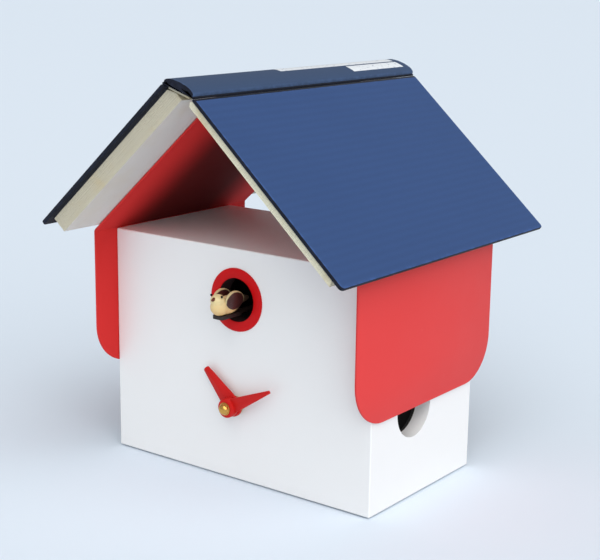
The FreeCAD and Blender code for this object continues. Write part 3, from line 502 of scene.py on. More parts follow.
def page_edges(name, book, axes, tone_and_painted_light):
    """The cut ends of the leaves: fine dark lines between them, foxing and dust."""
    edge = shade(book.page_edge, tone_and_painted_light)
    paint = Paint(name, edge, 0.85, Specular_IOR_Level=0.2)
    where = paint.place(axes.origin, (0, axes.tilt, 0))
    _, _, lift = paint.parts(where)
    leaf = paint.layers(lift, 6500.0, 3.0)
    thick = paint.layers(lift, 1500.0, 2.0)
    foxing = paint.ramp(paint.noise(where, 42.0, 5.0, 0.62, 0.4), 0.5, 0.72)
    spots = paint.ramp(paint.cells(where, 120.0), 0.2, 0.06)
    spots = spots * paint.ramp(paint.noise(where, 30.0), 0.52, 0.62)
    colour = paint.layered(shade(edge, 0.8), (paint.ramp(leaf, 0.35, 0.65), edge),
                           (paint.ramp(thick, 0.55, 0.35) * 0.35, shade(edge, 0.66)),
                           (foxing * 0.5, (0.62, 0.46, 0.2)), (spots * 0.45, (0.45, 0.3, 0.12)))
    return paint.finished(colour, 0.8 + 0.12 * leaf, leaf + thick * 0.8, 0.12 * MM, 0.7)


def page_face(name, book):
    """A blank page: pale, faintly fibrous, browned in soft patches."""
    paint = Paint(name, book.page, 0.8, Specular_IOR_Level=0.25)
    where = paint.place()
    fibre = paint.noise(where, 900.0, 5.0, 0.7)
    cloud = paint.noise(where, 20.0, 4.0, 0.6)
    colour = paint.layered(book.page, (fibre * 0.35, shade(book.page, 0.86)),
                           (paint.ramp(cloud, 0.45, 0.75) * 0.35, (0.66, 0.56, 0.4)))
    return paint.finished(colour, 0.76 + 0.1 * fibre, fibre + cloud * 2.0, 0.03 * MM, 0.5)


def foil(book):
    """Pale stamped foil, worn through in places to the cloth."""
    paint = Paint("pale_foil", book.foil, 0.45, Specular_IOR_Level=0.4)
    worn = paint.ramp(paint.noise(paint.place(), 420.0, 5.0, 0.7), 0.56, 0.68)
    return paint.finished(paint.blend(worn * 0.7, book.foil, book.cloth),
                          0.4 + 0.3 * worn, worn, 0.03 * MM, -0.5)


def painted_bird(bird):
    """Cream paint brushed on turned wood, warm under the belly and dark along the back."""
    paint = Paint("bird_paint", bird.body, 0.42, Coat_Weight=0.2, Coat_Roughness=0.25)
    low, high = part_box("bird_body")
    _, y, z = paint.parts(paint.place())
    strokes = paint.noise(paint.place(stretch=(1.0, 0.25, 1.0)), 650.0, 4.0, 0.6)
    ragged = strokes * 2 * MM
    warm = paint.ramp(z + ragged, high.z - 2 * MM, low.z) * paint.ramp(y, high.y, low.y + 8 * MM)
    back = paint.ramp(y + ragged, low.y + 14 * MM, low.y + 19 * MM)
    colour = paint.layered(bird.body, (warm * 0.75, bird.belly),
                           (paint.ramp(strokes, 0.5, 0.72) * 0.4, shade(bird.body, 0.82)),
                           (back * 0.95, bird.wing))
    return paint.finished(colour, 0.36 + 0.18 * strokes, strokes, 0.06 * MM, 0.5)


def painted_wing(bird, node):
    """Dark red-brown feathers inside a cream rim."""
    paint = Paint(node + "_paint", bird.wing, 0.4, Coat_Weight=0.2)
    low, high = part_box(node)
    centre = (low + high) / 2
    half = (high - low) / 2
    _, y, z = paint.parts(paint.place(centre + Vector((0, -0.5 * MM, -0.6 * MM))))
    y_share, z_share = y / half.y, z / half.z
    radial = (y_share * y_share + z_share * z_share).root()
    ragged = paint.noise(paint.place(stretch=(1.0, 0.3, 1.0)), 500.0, 4.0, 0.6)
    rim = paint.ramp(radial + ragged * 0.12, 0.93, 0.99)
    barbs = paint.bands(paint.place(centre, (math.radians(28), 0, 0)), "Z", 0.9 * MM, 1.2)
    colour = paint.layered(bird.wing, (barbs * 0.55, shade(bird.wing, 2.4)),
                           (rim * 0.85, shade(bird.body, 0.85)))
    return paint.finished(colour, 0.35 + 0.2 * ragged, barbs + ragged, 0.08 * MM, 0.6)


def brushed_paint(name, colour, second, roughness=0.4):
    """Hand-brushed paint or stain on a small wooden piece."""
    paint = Paint(name, colour, roughness)
    strokes = paint.noise(paint.place(stretch=(1.0, 0.2, 1.0)), 500.0, 5.0, 0.6)
    return paint.finished(paint.blend(strokes, colour, second), roughness + 0.2 * strokes,
                          strokes, 0.05 * MM, 0.5)


def moulded_plastic(name, colour, roughness):
    """Moulded plastic with a fine spark-eroded grain."""
    paint = Paint(name, colour, roughness)
    where = paint.place()
    grain = paint.noise(where, 1800.0, 2.0, 0.6)
    cloud = paint.noise(where, 60.0, 4.0)
    return paint.finished(paint.blend(cloud * 0.5 + grain * 0.2, colour, shade(colour, 0.78)),
                          roughness - 0.06 + 0.16 * cloud, grain, 0.04 * MM, 0.6)


def metal(name, colour, roughness, brush=(1.0, 0.03, 1.0)):
    """Drawn, ground or plated metal with its working marks in one direction."""
    paint = Paint(name, colour, roughness, 1.0)
    lines = paint.noise(paint.place(stretch=brush), 1600.0, 3.0, 0.6)
    stain = paint.noise(paint.place(), 90.0, 5.0, 0.65)
    return paint.finished(paint.blend(stain * 0.5, colour, shade(colour, 0.7)),
                          roughness - 0.08 + 0.16 * lines + 0.1 * stain, lines, 0.01 * MM, 0.5)


def hardboard():
    """Black painted hardboard with its screen texture."""
    pitch = 1.4 * MM
    paint = Paint("back_hardboard", (0.03, 0.03, 0.032), 0.62)
    where = paint.place()
    screen = paint.bands(where, "X", pitch, 0.3) * paint.bands(where, "Z", pitch, 0.3)
    fibre = paint.noise(where, 500.0, 5.0, 0.7)
    return paint.finished(paint.blend(fibre, (0.018, 0.018, 0.02), (0.05, 0.047, 0.045)),
                          0.5 + 0.2 * fibre, screen + fibre, 0.08 * MM, 0.6)


def woven_black():
    """Open acoustic cloth."""
    pitch = 0.5 * MM
    paint = Paint("acoustic_cloth", (0.003, 0.003, 0.003), 0.95, Specular_IOR_Level=0.1)
    where = paint.place()
    threads = paint.bands(where, "Y", pitch) + paint.bands(where, "Z", pitch)
    return paint.finished(paint.blend(threads * 0.5, (0.001, 0.001, 0.001), (0.006, 0.006, 0.0065)),
                          None, threads, 0.12 * MM)


def circuit_board():
    """Green solder mask over copper tracks."""
    paint = Paint("circuit", (0.02, 0.16, 0.06), 0.35)
    where = paint.place()
    tracks = paint.ramp(paint.cells(where, 420.0), 0.28, 0.34)
    return paint.finished(paint.blend(tracks, (0.03, 0.22, 0.08), (0.01, 0.1, 0.035)),
                          0.3 + 0.15 * paint.noise(where, 120.0), tracks, 0.03 * MM, -0.6)


def soft_wood(name, pale, dark):
    """Planed softwood with its grain along X."""
    paint = Paint(name, pale, 0.65)
    grain = paint.noise(paint.place(stretch=(1.0, 9.0, 9.0)), 40.0, 6.0, 0.6, 0.8)
    return paint.finished(paint.blend(grain, pale, dark), 0.6 + 0.15 * grain, grain, 0.1 * MM, 0.5)


def paint_nodes(material, *names):
    """Gives CAD nodes a finished material."""
    for name in names:
        slots = NODES[name].data.materials
        if not slots:
            slots.append(material)
        for i in range(len(slots)):
            slots[i] = material


# ------------------------------------------------------------------ settings


def colour_setting(name, description, value):
    return FloatVectorProperty(name=name, description=description, default=value, subtype="COLOR",
                               size=3, min=0.0, max=1.0)


def length_setting(name, description, value):
    return FloatProperty(name=name, description=description, default=value, subtype="DISTANCE",
                         unit="LENGTH", min=0.0, soft_max=0.05)


class CLOCK_PG_case(bpy.types.PropertyGroup):
    lacquer: colour_setting("Lacquer", "Colour of the case", (0.855, 0.845, 0.835))
    ring: colour_setting("Ring", "Colour of the bird hole's ring", (0.62, 0.006, 0.008))
    steel: colour_setting("Saddle", "Colour of the folded steel saddle", (0.74, 0.052, 0.05))
    sheet_ease: length_setting("Sheet edge", "Rounding of the sheet's cut edges", 0.25 * MM)


class CLOCK_PG_book(bpy.types.PropertyGroup):
    cloth: colour_setting("Cloth", "Colour of the book cloth", (0.0315, 0.072, 0.197))
    faded: colour_setting("Faded cloth", "Colour of the cloth on the spine", (0.0385, 0.069, 0.141))
    # The cloth edge colour is near-black painted shade, used on the boards' edges, undersides and grooves, on
    # the spine's sides and ends, and on the joint strips.
    edge: colour_setting("Cloth edge", "Colour of the cloth round the boards' edges", (0.005, 0.007, 0.016))
    page: colour_setting("Page", "Colour of a page's face", (0.74, 0.71, 0.66))
    page_edge: colour_setting("Page edges", "Colour of the cut ends of the leaves", (0.8, 0.73, 0.56))
    foil: colour_setting("Foil", "Colour of the stamped bars on the spine", (0.8, 0.83, 0.86))
    thread: length_setting("Thread", "Distance from one thread of the cloth to the next", 0.55 * MM)
    board_ease: length_setting("Board edge", "Rounding of the boards' edges", 0.55 * MM)
    groove: length_setting("Groove", "Width of the groove along each board beside the spine", 2.2 * MM)
    groove_depth: length_setting("Groove depth", "Depth of the groove along each board", 0.9 * MM)
    square: length_setting("Turn-in", "Width of cloth folded over inside a board", 9 * MM)
    endpaper: length_setting("Endpaper", "Thickness of the paper pasted inside a board", 0.2 * MM)
    leaf: length_setting("Leaf bundle", "Thickness of each bundle of leaves", 0.36 * MM)
    ragged: length_setting("Raggedness", "How unevenly the leaves end", 0.3 * MM)
    # The flyleaf colour is near black: dark paper, also used as painted shade next to the boards.
    flyleaf: colour_setting("Flyleaves", "Colour of the leaves next to the boards", (0.012, 0.013, 0.018))


class CLOCK_PG_hands(bpy.types.PropertyGroup):
    colour: colour_setting("Hands", "Colour of the hands", (0.6, 0.014, 0.012))
    ridge: length_setting("Ridge", "Height of the ridge along each hand", 0.55 * MM)
    cap: colour_setting("Cap", "Colour of the brass cap", (0.66, 0.37, 0.09))


class CLOCK_PG_bird(bpy.types.PropertyGroup):
    body: colour_setting("Body", "Colour of the bird's body", (0.82, 0.67, 0.34))
    belly: colour_setting("Belly", "Warmer colour under the bird", (0.78, 0.42, 0.12))
    wing: colour_setting("Wing", "Colour of the wings", (0.035, 0.007, 0.006))
    voxel: length_setting("Carving", "Fineness of the bird's carved surface", 0.35 * MM)


class CLOCK_PG_stage(bpy.types.PropertyGroup):
    floor: colour_setting("Floor", "Colour of the floor", (0.74, 0.815, 0.9))
    sky: colour_setting("Surround", "Colour of the light all round", (0.93, 0.97, 1.0))
    ambient: FloatProperty(name="Surround light", description="Strength of the light all round",
                           default=0.58, min=0)
    key: FloatProperty(name="Key light", description="Strength of the large soft light", default=2.63, min=0)
    softness: FloatProperty(name="Softness", description="Width of the large soft light",
                            default=math.radians(80), min=0, max=math.pi, subtype="ANGLE", unit="ROTATION")


# ------------------------------------------------------------------ operators


class ClockOperator:
    bl_options = {"REGISTER", "UNDO"}


class CLOCK_OT_case(ClockOperator, bpy.types.Operator):
    """Finish the lacquered case and the sheet that it rests on"""

    bl_idname = "clock.case"
    bl_label = "Case"

    def execute(self, context):
        paint_nodes(lacquered_board(context.scene.clock_case),
                    "front_panel", "left_panel", "right_panel", "top_panel", "bottom_panel")
        paint_nodes(felt(), "base_sheet")
        paint_nodes(moulded_plastic("foam_tape", (0.02, 0.02, 0.02), 0.9), "adhesive_pads", "sound_gaskets")
        paint_nodes(woven_black(), "sound_cloths")
        return {"FINISHED"}


class CLOCK_OT_back(ClockOperator, bpy.types.Operator):
    """Finish the back cover, its screws, the battery lid and the volume slider"""

    bl_idname = "clock.back"
    bl_label = "Back"

    def execute(self, context):
        zinc = metal("zinc_plate", (0.62, 0.63, 0.66), 0.32)
        black = moulded_plastic("black_plastic", (0.022, 0.022, 0.024), 0.45)
        for node, ease, material in (("back_cover", 0.3, hardboard()), ("back_screws", 0.2, zinc),
                                     ("battery_lid", 0.35, black), ("volume_slider", 0.3, black),
                                     ("battery_tray", 0.3, black)):
            softened(node, ease * MM, [material])
        paint_nodes(soft_wood("pine_block", (0.6, 0.44, 0.26), (0.42, 0.27, 0.13)), "corner_blocks")
        paint_nodes(moulded_plastic("cell_jacket", (0.05, 0.06, 0.09), 0.3), "batteries")
        paint_nodes(metal("spring_nickel", (0.75, 0.73, 0.68), 0.25), "battery_contacts")
        return {"FINISHED"}


class CLOCK_OT_saddle(ClockOperator, bpy.types.Operator):
    """Coat the folded steel saddle and ease its edges"""

    bl_idname = "clock.saddle"
    bl_label = "Saddle"

    def execute(self, context):
        case = context.scene.clock_case
        softened("saddle", case.sheet_ease, [powder_coat(case)], 50.0, "saddle_sheet")
        return {"FINISHED"}


class CLOCK_OT_ring(ClockOperator, bpy.types.Operator):
    """Turn the red ring of the bird hole"""

    bl_idname = "clock.ring"
    bl_label = "Bird ring"

    def execute(self, context):
        node = "bird_ring"
        low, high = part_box(node)
        centre = Vector((0, low.y, (low.z + high.z) / 2))
        outer = (high.x - low.x) / 2
        bore = min(math.hypot(v.co.x, v.co.z - centre.z) for v in NODES[node].data.vertices)
        depth = high.y - low.y
        flange = 2.1 * MM
        sleeve = bore + 1.75 * MM
        lead_in = 0.5 * MM
        bm = bmesh.new()
        add_turned(bm, [(bore + lead_in, 0), (outer - 0.6 * MM, 0), (outer - 0.15 * MM, 0.18 * MM),
                        (outer, 0.6 * MM), (outer, flange), (sleeve, flange), (sleeve, depth),
                        (bore, depth), (bore, lead_in), (bore + 0.15 * MM, 0.15 * MM)],
                   centre, SPINE_AXIS, 96, True)
        # The bore is painted near-black red, painted shade inside the hole.
        for face in bm.faces:
            middle = face.calc_center_median() - centre
            in_bore = math.hypot(middle.x, middle.z) < bore + 0.1 * MM and middle.y > lead_in
            face.material_index = int(in_bore)
        stain = brushed_paint("bore_painted_shade", (0.03, 0.003, 0.003), (0.012, 0.002, 0.002), 0.7)
        enamel = gloss_enamel("ring_enamel", context.scene.clock_case.ring, 0.28)
        stand_in("ring_turned", bm, node, [enamel, stain], 30.0)
        return {"FINISHED"}


# Near-black paper for flyleaves and endpapers, also painted shade next to the boards.
def flyleaf_and_shade_paper(name, book):
    return brushed_paint(name, book.flyleaf, shade(book.flyleaf, 2.2), 0.7)


class CLOCK_OT_covers(ClockOperator, bpy.types.Operator):
    """Cover the book's two boards in cloth and line them with endpapers"""

    bl_idname = "clock.covers"
    bl_label = "Book covers"

    def execute(self, context):
        for side in (-1, 1):
            axes = SlopeFrame(side)
            self.board(context.scene.clock_book, axes)
            self.endpaper(context.scene.clock_book, axes)
        return {"FINISHED"}

    def board(self, book, axes):
        bm = bmesh.new()
        verts = add_box(bm, (0, 0, book.endpaper), (axes.width, axes.length, axes.board))
        upright = [e for e in edges_of(verts) if abs(e.verts[0].co.z - e.verts[1].co.z) > 1 * MM
                   and e.verts[0].co.x > axes.width / 2]
        bevel_edges(bm, upright, 2.5 * MM, 5)
        split_across(bm, (book.groove, 0, 0), (1, 0, 0))
        for vert in bm.verts:
            if vert.co.x < TINY and vert.co.z > axes.board / 2:
                vert.co.z -= book.groove_depth
        rims = [e for e in corners_over(bm, 60) if abs(e.verts[0].co.z - e.verts[1].co.z) < TINY]
        bevel_edges(bm, rims, book.board_ease, 3)
        broad = [face for face in bm.faces if face.calc_area() > axes.width * axes.length / 2]
        bmesh.ops.inset_individual(bm, faces=broad, thickness=1.5 * MM)
        wear = bm.verts.layers.float.new("wear")
        for vert in bm.verts:
            inset = min(vert.co.y, axes.length - vert.co.y, axes.width - vert.co.x)
            vert[wear] = max(0.0, 1 - inset / (1.2 * MM))
        # Painted shade: all faces but the board's top outside the groove take the near-black cloth.
        for face in bm.faces:
            on_top = face.normal.z > 0.94 and face.calc_center_median().x > book.groove
            face.material_index = int(not on_top)
        bm.transform(axes.matrix)
        stand_in(axes.cover + "_board", bm, axes.cover,
                 [book_cloth(axes.cover + label, colour, book.thread, axes.tilt, axes.origin)
                  for label, colour in (("_cloth", book.cloth), ("_painted_shade_cloth", book.edge))])

    def endpaper(self, book, axes):
        turn_in = book.square
        bm = bmesh.new()
        verts = add_box(bm, (0.4 * MM, turn_in * 0.3, 0),
                        (axes.width - turn_in, axes.length - turn_in * 0.3, book.endpaper), axes.matrix)
        bevel_edges(bm, edges_of(verts), 0.05 * MM, 1)
        # The endpaper takes the near-black flyleaf paper: dark paper, and painted shade under the board's
        # edge.
        name = axes.cover + "_endpaper"
        finish_piece(name, bm, body_of(axes.cover), "pages", (), [flyleaf_and_shade_paper(name + "_stock", book)])


class CLOCK_OT_pages(ClockOperator, bpy.types.Operator):
    """Stack the leaves of both halves of the book"""

    bl_idname = "clock.pages"
    bl_label = "Pages"

    def execute(self, context):
        for side in (-1, 1):
            self.block(context.scene.clock_book, SlopeFrame(side))
        return {"FINISHED"}

    def block(self, book, axes):
        rng = random.Random(7 + axes.side)
        low, high = span(axes.pages, axes.origin, axes.out)
        front, back = span(axes.pages, axes.origin, SPINE_AXIS)
        count = max(4, round((high - low) / book.leaf))
        step = (high - low) / count
        bm = bmesh.new()
        for i in range(count):
            start, end = extent_at(axes.pages, axes.origin, axes.down, axes.out, low + (i + 0.5) * step)
            ragged = [book.ragged * rng.random() ** 2 for _ in range(4)]
            verts = add_box(bm, (start + ragged[0], front + ragged[1], low + i * step),
                            (end - ragged[2], back - ragged[3], low + (i + 1) * step - 0.02 * MM))
            bevel_edges(bm, edges_of(verts), step * 0.18, 1)
        # The leaves next to each board are near black: dark flyleaves, with the two extra on the left as
        # painted shade.
        flyleaves_and_shade = high - (3 if axes.side < 0 else 1) * step
        for face in bm.faces:
            if face.calc_center_median().z > flyleaves_and_shade:
                face.material_index = 2
            else:
                face.material_index = int(abs(face.normal.z) > 0.9)
        bm.transform(axes.matrix)
        # Painted light and shade: the left block's ends are painted darker, the right block's brighter.
        tone_and_painted_light = 0.86 if axes.side < 0 else 1.3
        stand_in(axes.pages + "_leaves", bm, axes.pages,
                 [page_edges(axes.pages + "_edges", book, axes, tone_and_painted_light),
                  page_face(axes.pages + "_stock", book),
                  flyleaf_and_shade_paper(axes.pages + "_flyleaf", book)])


class CLOCK_OT_spine(ClockOperator, bpy.types.Operator):
    """Round the spine, cover it in cloth and stamp it with plain bars"""

    bl_idname = "clock.spine"
    bl_label = "Spine"

    SHELL = 2.0 * MM  # thickness of the rounded back

    def execute(self, context):
        book = context.scene.clock_book
        node = "spine_strip"
        low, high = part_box(node)
        left = furthest(node, Vector((-1, 0, 0.5)))
        right = furthest(node, Vector((1, 0, 0.1)))
        left.y = right.y = low.y
        across = (right - left).normalized()
        up = Vector((-across.z, 0, across.x))
        self.width = (right - left).length
        self.length = high.y - low.y
        self.crown = span(node, left, up)[1]
        self.matrix = frame_matrix(across, SPINE_AXIS, up, left)
        tilt = math.atan2(-across.z, across.x)
        # The second cloth is the near-black one, painted shade on the spine's sides and ends and in the
        # joints.
        cloth, dark = (book_cloth(node + label, colour, book.thread, tilt, left)
                       for label, colour in (("_cloth", book.faded), ("_painted_shade_cloth", book.edge)))
        self.shell(node, [cloth, dark])
        self.sections(book, span(node, left, -up)[1])
        self.joints(dark)
        self.bars(book)
        return {"FINISHED"}

    def top(self, u):
        """Height of the rounded back at a distance across it."""
        share = min(max(u / self.width, 0.0), 1.0)
        return self.crown * (4 * share * (1 - share)) ** 0.36

    def extruded(self, outline, start, end):
        """A solid with one outline from the start to the end of its length."""
        bm = bmesh.new()
        face = bm.faces.new([bm.verts.new((u, start, v)) for u, v in outline])
        far = bmesh.ops.extrude_face_region(bm, geom=[face])["geom"]
        bmesh.ops.translate(bm, verts=[v for v in far if isinstance(v, bmesh.types.BMVert)],
                            vec=(0, end - start, 0))
        return bm

    def shell(self, node, materials):
        """The rounded cloth-covered back, a little frayed at both ends."""
        lip = 1.0 * MM
        steps = 26
        levels = [self.width * (1 - math.cos(math.pi * i / steps)) / 2 for i in range(steps + 1)]
        outline = [(u, self.top(u)) for u in levels]
        outline += [(u, max(-lip, v - self.SHELL)) for u, v in reversed(outline)]
        bm = self.extruded(outline, 0, self.length)
        rims = [e for e in bm.edges if abs(e.verts[0].co.y - e.verts[1].co.y) < TINY
                and all(v.co.z > -lip / 2 for v in e.verts)]
        bevel_edges(bm, rims, 0.4 * MM)
        bmesh.ops.recalc_face_normals(bm, faces=bm.faces)
        for level in (2 * MM, self.length - 2 * MM):
            split_across(bm, (0, level, 0), SPINE_AXIS)
        self.fray(bm)
        wear = bm.verts.layers.float.new("wear")
        for vert in bm.verts:
            end = min(vert.co.y, self.length - vert.co.y)
            side = min(vert.co.x, self.width - vert.co.x)
            vert[wear] = max(0.0, 1 - end / (1.5 * MM)) + 0.5 * max(0.0, 1 - side / (1.0 * MM))
        # Painted shade: faces that don't face up take the near-black cloth.
        for face in bm.faces:
            face.material_index = int(not (face.normal.z > 0.05 and abs(face.normal.y) < 0.3))
        bm.transform(self.matrix)
        stand_in("spine_cloth", bm, node, materials)

    def fray(self, bm):
        """Roughens the cloth at both ends of the spine."""
        rng = random.Random(3)
        for vert in bm.verts:
            if min(vert.co.y, self.length - vert.co.y) < 0.5 * MM:
                inward = 1 if vert.co.y < self.length / 2 else -1
                vert.co.y += inward * 0.35 * MM * rng.random()
                vert.co.z += 0.12 * MM * (rng.random() - 0.5)

    def inner_piece(self, name, bm, slot, material):
        bm.transform(self.matrix)
        finish_piece(name, bm, "book_spine", slot, (), [material])

    def sections(self, book, thick):
        """The backs of the folded sections, seen under the shell at both ends."""
        inset = 3.4 * MM
        steps = 12
        levels = [inset + (self.width - 2 * inset) * i / steps for i in range(steps + 1)]
        outline = [(u, self.top(u) - self.SHELL - 0.02 * MM) for u in levels]
        outline += [(self.width - inset, -thick), (inset, -thick)]
        bm = self.extruded(outline, 1.5 * MM, self.length - 1.5 * MM)
        self.inner_piece("section_backs", bm, "pages",
                         page_edges("section_backs_edges", book, SlopeFrame(-1), 0.7))

    def joints(self, material):
        """Strips of near-black cloth, painted shade, in the grooves between the spine and the boards."""
        gap, edge = 0.02 * MM, 0.74 * MM
        bm = bmesh.new()
        for start, end in ((-edge, -gap), (self.width + gap, self.width + edge)):
            verts = add_box(bm, (start, 0.1 * MM, -1.3 * MM), (end, self.length - 0.1 * MM, -0.2 * MM))
            bevel_edges(bm, edges_of(verts), 0.1 * MM, 1)
        self.inner_piece("spine_joints", bm, "book_cloth", material)

    def bars(self, book):
        """Two plain stamped bars near the back end of the spine."""
        bm = bmesh.new()
        for u0, u1, start, end in ((0.07, 0.39, 0.42, 0.97), (0.46, 0.79, 0.713, 0.97)):
            grid = bmesh.ops.create_grid(bm, x_segments=14, y_segments=2, size=0.5)["verts"]
            for vert in grid:
                u = self.width * (u0 + (u1 - u0) * (vert.co.x + 0.5))
                v = self.length * (start + (end - start) * (vert.co.y + 0.5))
                vert.co = Vector((u, v, self.top(u) + 0.02 * MM))
        bmesh.ops.solidify(bm, geom=bm.faces[:], thickness=-0.05 * MM)
        self.inner_piece("spine_bars", bm, "book_cloth", foil(book))


class CLOCK_OT_hands(ClockOperator, bpy.types.Operator):
    """Shape the two ridged hands, their hubs, the brass cap and the nut"""

    bl_idname = "clock.hands"
    bl_label = "Hands"

    def execute(self, context):
        hands = context.scene.clock_hands
        red = gloss_enamel("hand_enamel", hands.colour, 0.3)
        self.axis = Vector((0, 0, centre_of("movement_nut").z))
        for node, base, tip, bore in (("hour_hand", 13.2, 4.3, 2.6), ("minute_hand", 10.2, 1.9, 1.8)):
            bm = bmesh.new()
            self.blade(bm, hands, node, base * MM, tip * MM)
            self.hub(bm, node, bore * MM)
            stand_in(node + "_ridged", bm, node, [red], 28.0)
        self.cap(hands)
        nut_brass = polished_brass("nut_brass", (0.7, 0.5, 0.2), self.axis, False)
        softened("movement_nut", 0.25 * MM, [nut_brass])
        return {"FINISHED"}

    def blade(self, bm, hands, node, base, tip):
        """A tapering blade with a ridge along it and a rounded tip."""
        low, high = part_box(node)
        flat = [Vector((v.co.x, 0, v.co.z)) - self.axis for v in NODES[node].data.vertices]
        reach = max(point.length for point in flat)
        tips = [point for point in flat if point.length > reach - 0.6 * MM]
        aim = sum(tips, Vector()) / len(tips)
        length = aim.length
        aim.normalize()
        half = 0.6 * MM
        verts = add_box(bm, (-0.5, 0, -half), (0.5, length, half))
        for vert in verts:
            vert.co.x *= base + (tip - base) * vert.co.y / length
        split_across(bm, (0, 0, 0), (1, 0, 0))
        for vert in bm.verts:
            if vert.co.z > 0:
                vert.co.z += hands.ridge if abs(vert.co.x) < TINY else -0.25 * MM
        ends = [e for e in bm.edges if all(v.co.y > length - TINY for v in e.verts)
                and e.verts[0].co.z * e.verts[1].co.z < 0 and abs(e.verts[0].co.x) > TINY]
        bevel_edges(bm, ends, tip * 0.22, 3)
        bevel_edges(bm, corners_over(bm, 40), 0.12 * MM)
        side = Vector((aim.z, 0, -aim.x))
        bm.transform(frame_matrix(side, aim, DIAL_AXIS, self.axis + SPINE_AXIS * (low.y + high.y) / 2))

    def hub(self, bm, node, bore):
        low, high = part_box(node)
        radius = self.axis.z - low.z
        thick = high.y - low.y
        ease = 0.3 * MM
        add_turned(bm, [(bore, 0), (radius - 0.9 * MM, 0), (radius - ease, 0.25 * MM), (radius, 0.9 * MM),
                        (radius, thick - ease), (radius - ease, thick), (bore, thick)],
                   self.axis + SPINE_AXIS * low.y, SPINE_AXIS, 64, True)

    def cap(self, hands):
        """A domed cap on a short drum."""
        node = "hand_cap"
        low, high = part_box(node)
        radius = (high.x - low.x) / 2
        ease, drum, dome_step, dome_base = 0.15 * MM, 0.7 * MM, 0.45 * MM, 0.85 * MM
        dome = radius - dome_step
        profile = [(0, 0), (radius - ease, 0), (radius, ease), (radius, drum), (dome, dome_base)]
        for i in range(1, 13):
            angle = math.radians(90 * i / 12)
            profile.append((dome * math.cos(angle),
                            dome_base + (high.y - low.y - dome_base) * math.sin(angle)))
        bm = bmesh.new()
        add_turned(bm, profile, self.axis + SPINE_AXIS * high.y, DIAL_AXIS)
        stand_in("cap_dome", bm, node, [polished_brass("cap_brass", hands.cap, self.axis)], 40.0)


class CLOCK_OT_bird(ClockOperator, bpy.types.Operator):
    """Carve and paint the bird and its perch"""

    bl_idname = "clock.bird"
    bl_label = "Bird"

    def execute(self, context):
        bird = context.scene.clock_bird
        self.body(bird)
        for node in ("bird_left_wing", "bird_right_wing"):
            self.wing(bird, node)
        self.beak()
        self.eyes()
        self.perch()
        return {"FINISHED"}

    def body(self, bird):
        low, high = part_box("bird_body")
        axis = low.z + (high.x - low.x) / 2
        bm = bmesh.new()
        lumps = (  # place along the body and height, then the half sizes, in millimetres
            (12.5, axis - 0.6 * MM, (6.0, 12.3, 5.6)),
            (4.7, high.z - 6.2 * MM, (4.6, 4.5, 4.2)),
            (6.6, axis - 0.5 * MM, (5.6, 6.3, 5.6)),
            (22.0, axis + 0.5 * MM, (3.4, 11.8, 2.7)),
        )
        for along, height, radii in lumps:
            add_ball(bm, (0, low.y + along * MM, height), [r * MM for r in radii], 32, 20)
        piece = stand_in("bird_carved", bm, "bird_body", [painted_bird(bird)], 60.0)
        remesh = piece.modifiers.new("carve", "REMESH")
        remesh.mode = "VOXEL"
        remesh.voxel_size = bird.voxel
        remesh.use_smooth_shade = True
        smooth = piece.modifiers.new("sand", "SMOOTH")
        smooth.factor = 0.6
        smooth.iterations = 10
        apply_modifiers(piece)
        piece.data.shade_smooth()

    def wing(self, bird, node):
        low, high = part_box(node)
        centre = (low + high) / 2
        bm = bmesh.new()
        add_ball(bm, centre, (high - low) / 2, 40, 24)
        for vert in bm.verts:
            share = (vert.co.y - low.y) / (high.y - low.y)
            vert.co.z = centre.z + (vert.co.z - centre.z) * (1.0 - 0.25 * share ** 2)
        stand_in(node + "_carved", bm, node, [painted_wing(bird, node)], 60.0)

    def beak(self):
        node = "bird_beak"
        low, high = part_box(node)
        root = Vector((0, high.y + 0.6 * MM, (low.z + high.z) / 2 - 0.4 * MM))
        tip = root.y - low.y - 1.2 * MM
        bm = bmesh.new()
        add_turned(bm, [(0, 0), (1.25 * MM, 0), (1.15 * MM, tip * 0.3), (0.8 * MM, tip * 0.65),
                        (0.35 * MM, tip * 0.92), (0, tip)], root, (0, -1, -0.15), 24)
        paint = brushed_paint("beak_paint", (0.2, 0.04, 0.012), (0.07, 0.016, 0.008))
        stand_in("beak_carved", bm, node, [paint], 60.0)

    def eyes(self):
        node = "bird_eyes"
        low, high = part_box(node)
        radius = 0.75 * MM
        reach = (high.x - low.x) / 2 - 0.95 * MM
        bm = bmesh.new()
        for side in (-1, 1):
            place = (side * reach, (low.y + high.y) / 2 - 0.3 * MM, (low.z + high.z) / 2)
            add_ball(bm, place, (radius, radius, radius), 20, 14)
        stand_in("eye_beads", bm, node, [gloss_enamel("eye_gloss", (0.006, 0.005, 0.005), 0.12)], 60.0)

    def perch(self):
        """A flat plank on a round pin."""
        node = "perch"
        low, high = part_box(node)
        middle = (low.z + high.z) / 2
        half, pin = 1.25 * MM, 1.5 * MM
        bm = bmesh.new()
        verts = add_box(bm, (low.x, low.y, middle - half), (high.x, low.y + 18 * MM, middle + half))
        tip = [e for e in edges_of(verts) if all(v.co.y < low.y + TINY for v in e.verts)
               and abs(e.verts[0].co.x - e.verts[1].co.x) < TINY]
        bevel_edges(bm, tip, 0.9 * MM, 4)
        bevel_edges(bm, corners_over(bm, 50), 0.3 * MM)
        root = Vector((0, low.y + 15 * MM, middle))
        reach = high.y - root.y
        add_turned(bm, [(0, 0), (pin, 0.01 * MM), (pin, reach - 0.1 * MM), (0, reach)], root, SPINE_AXIS, 32)
        stain = brushed_paint("perch_stain", (0.022, 0.009, 0.007), (0.007, 0.004, 0.003), 0.42)
        stand_in("perch_plank", bm, node, [stain], 40.0)


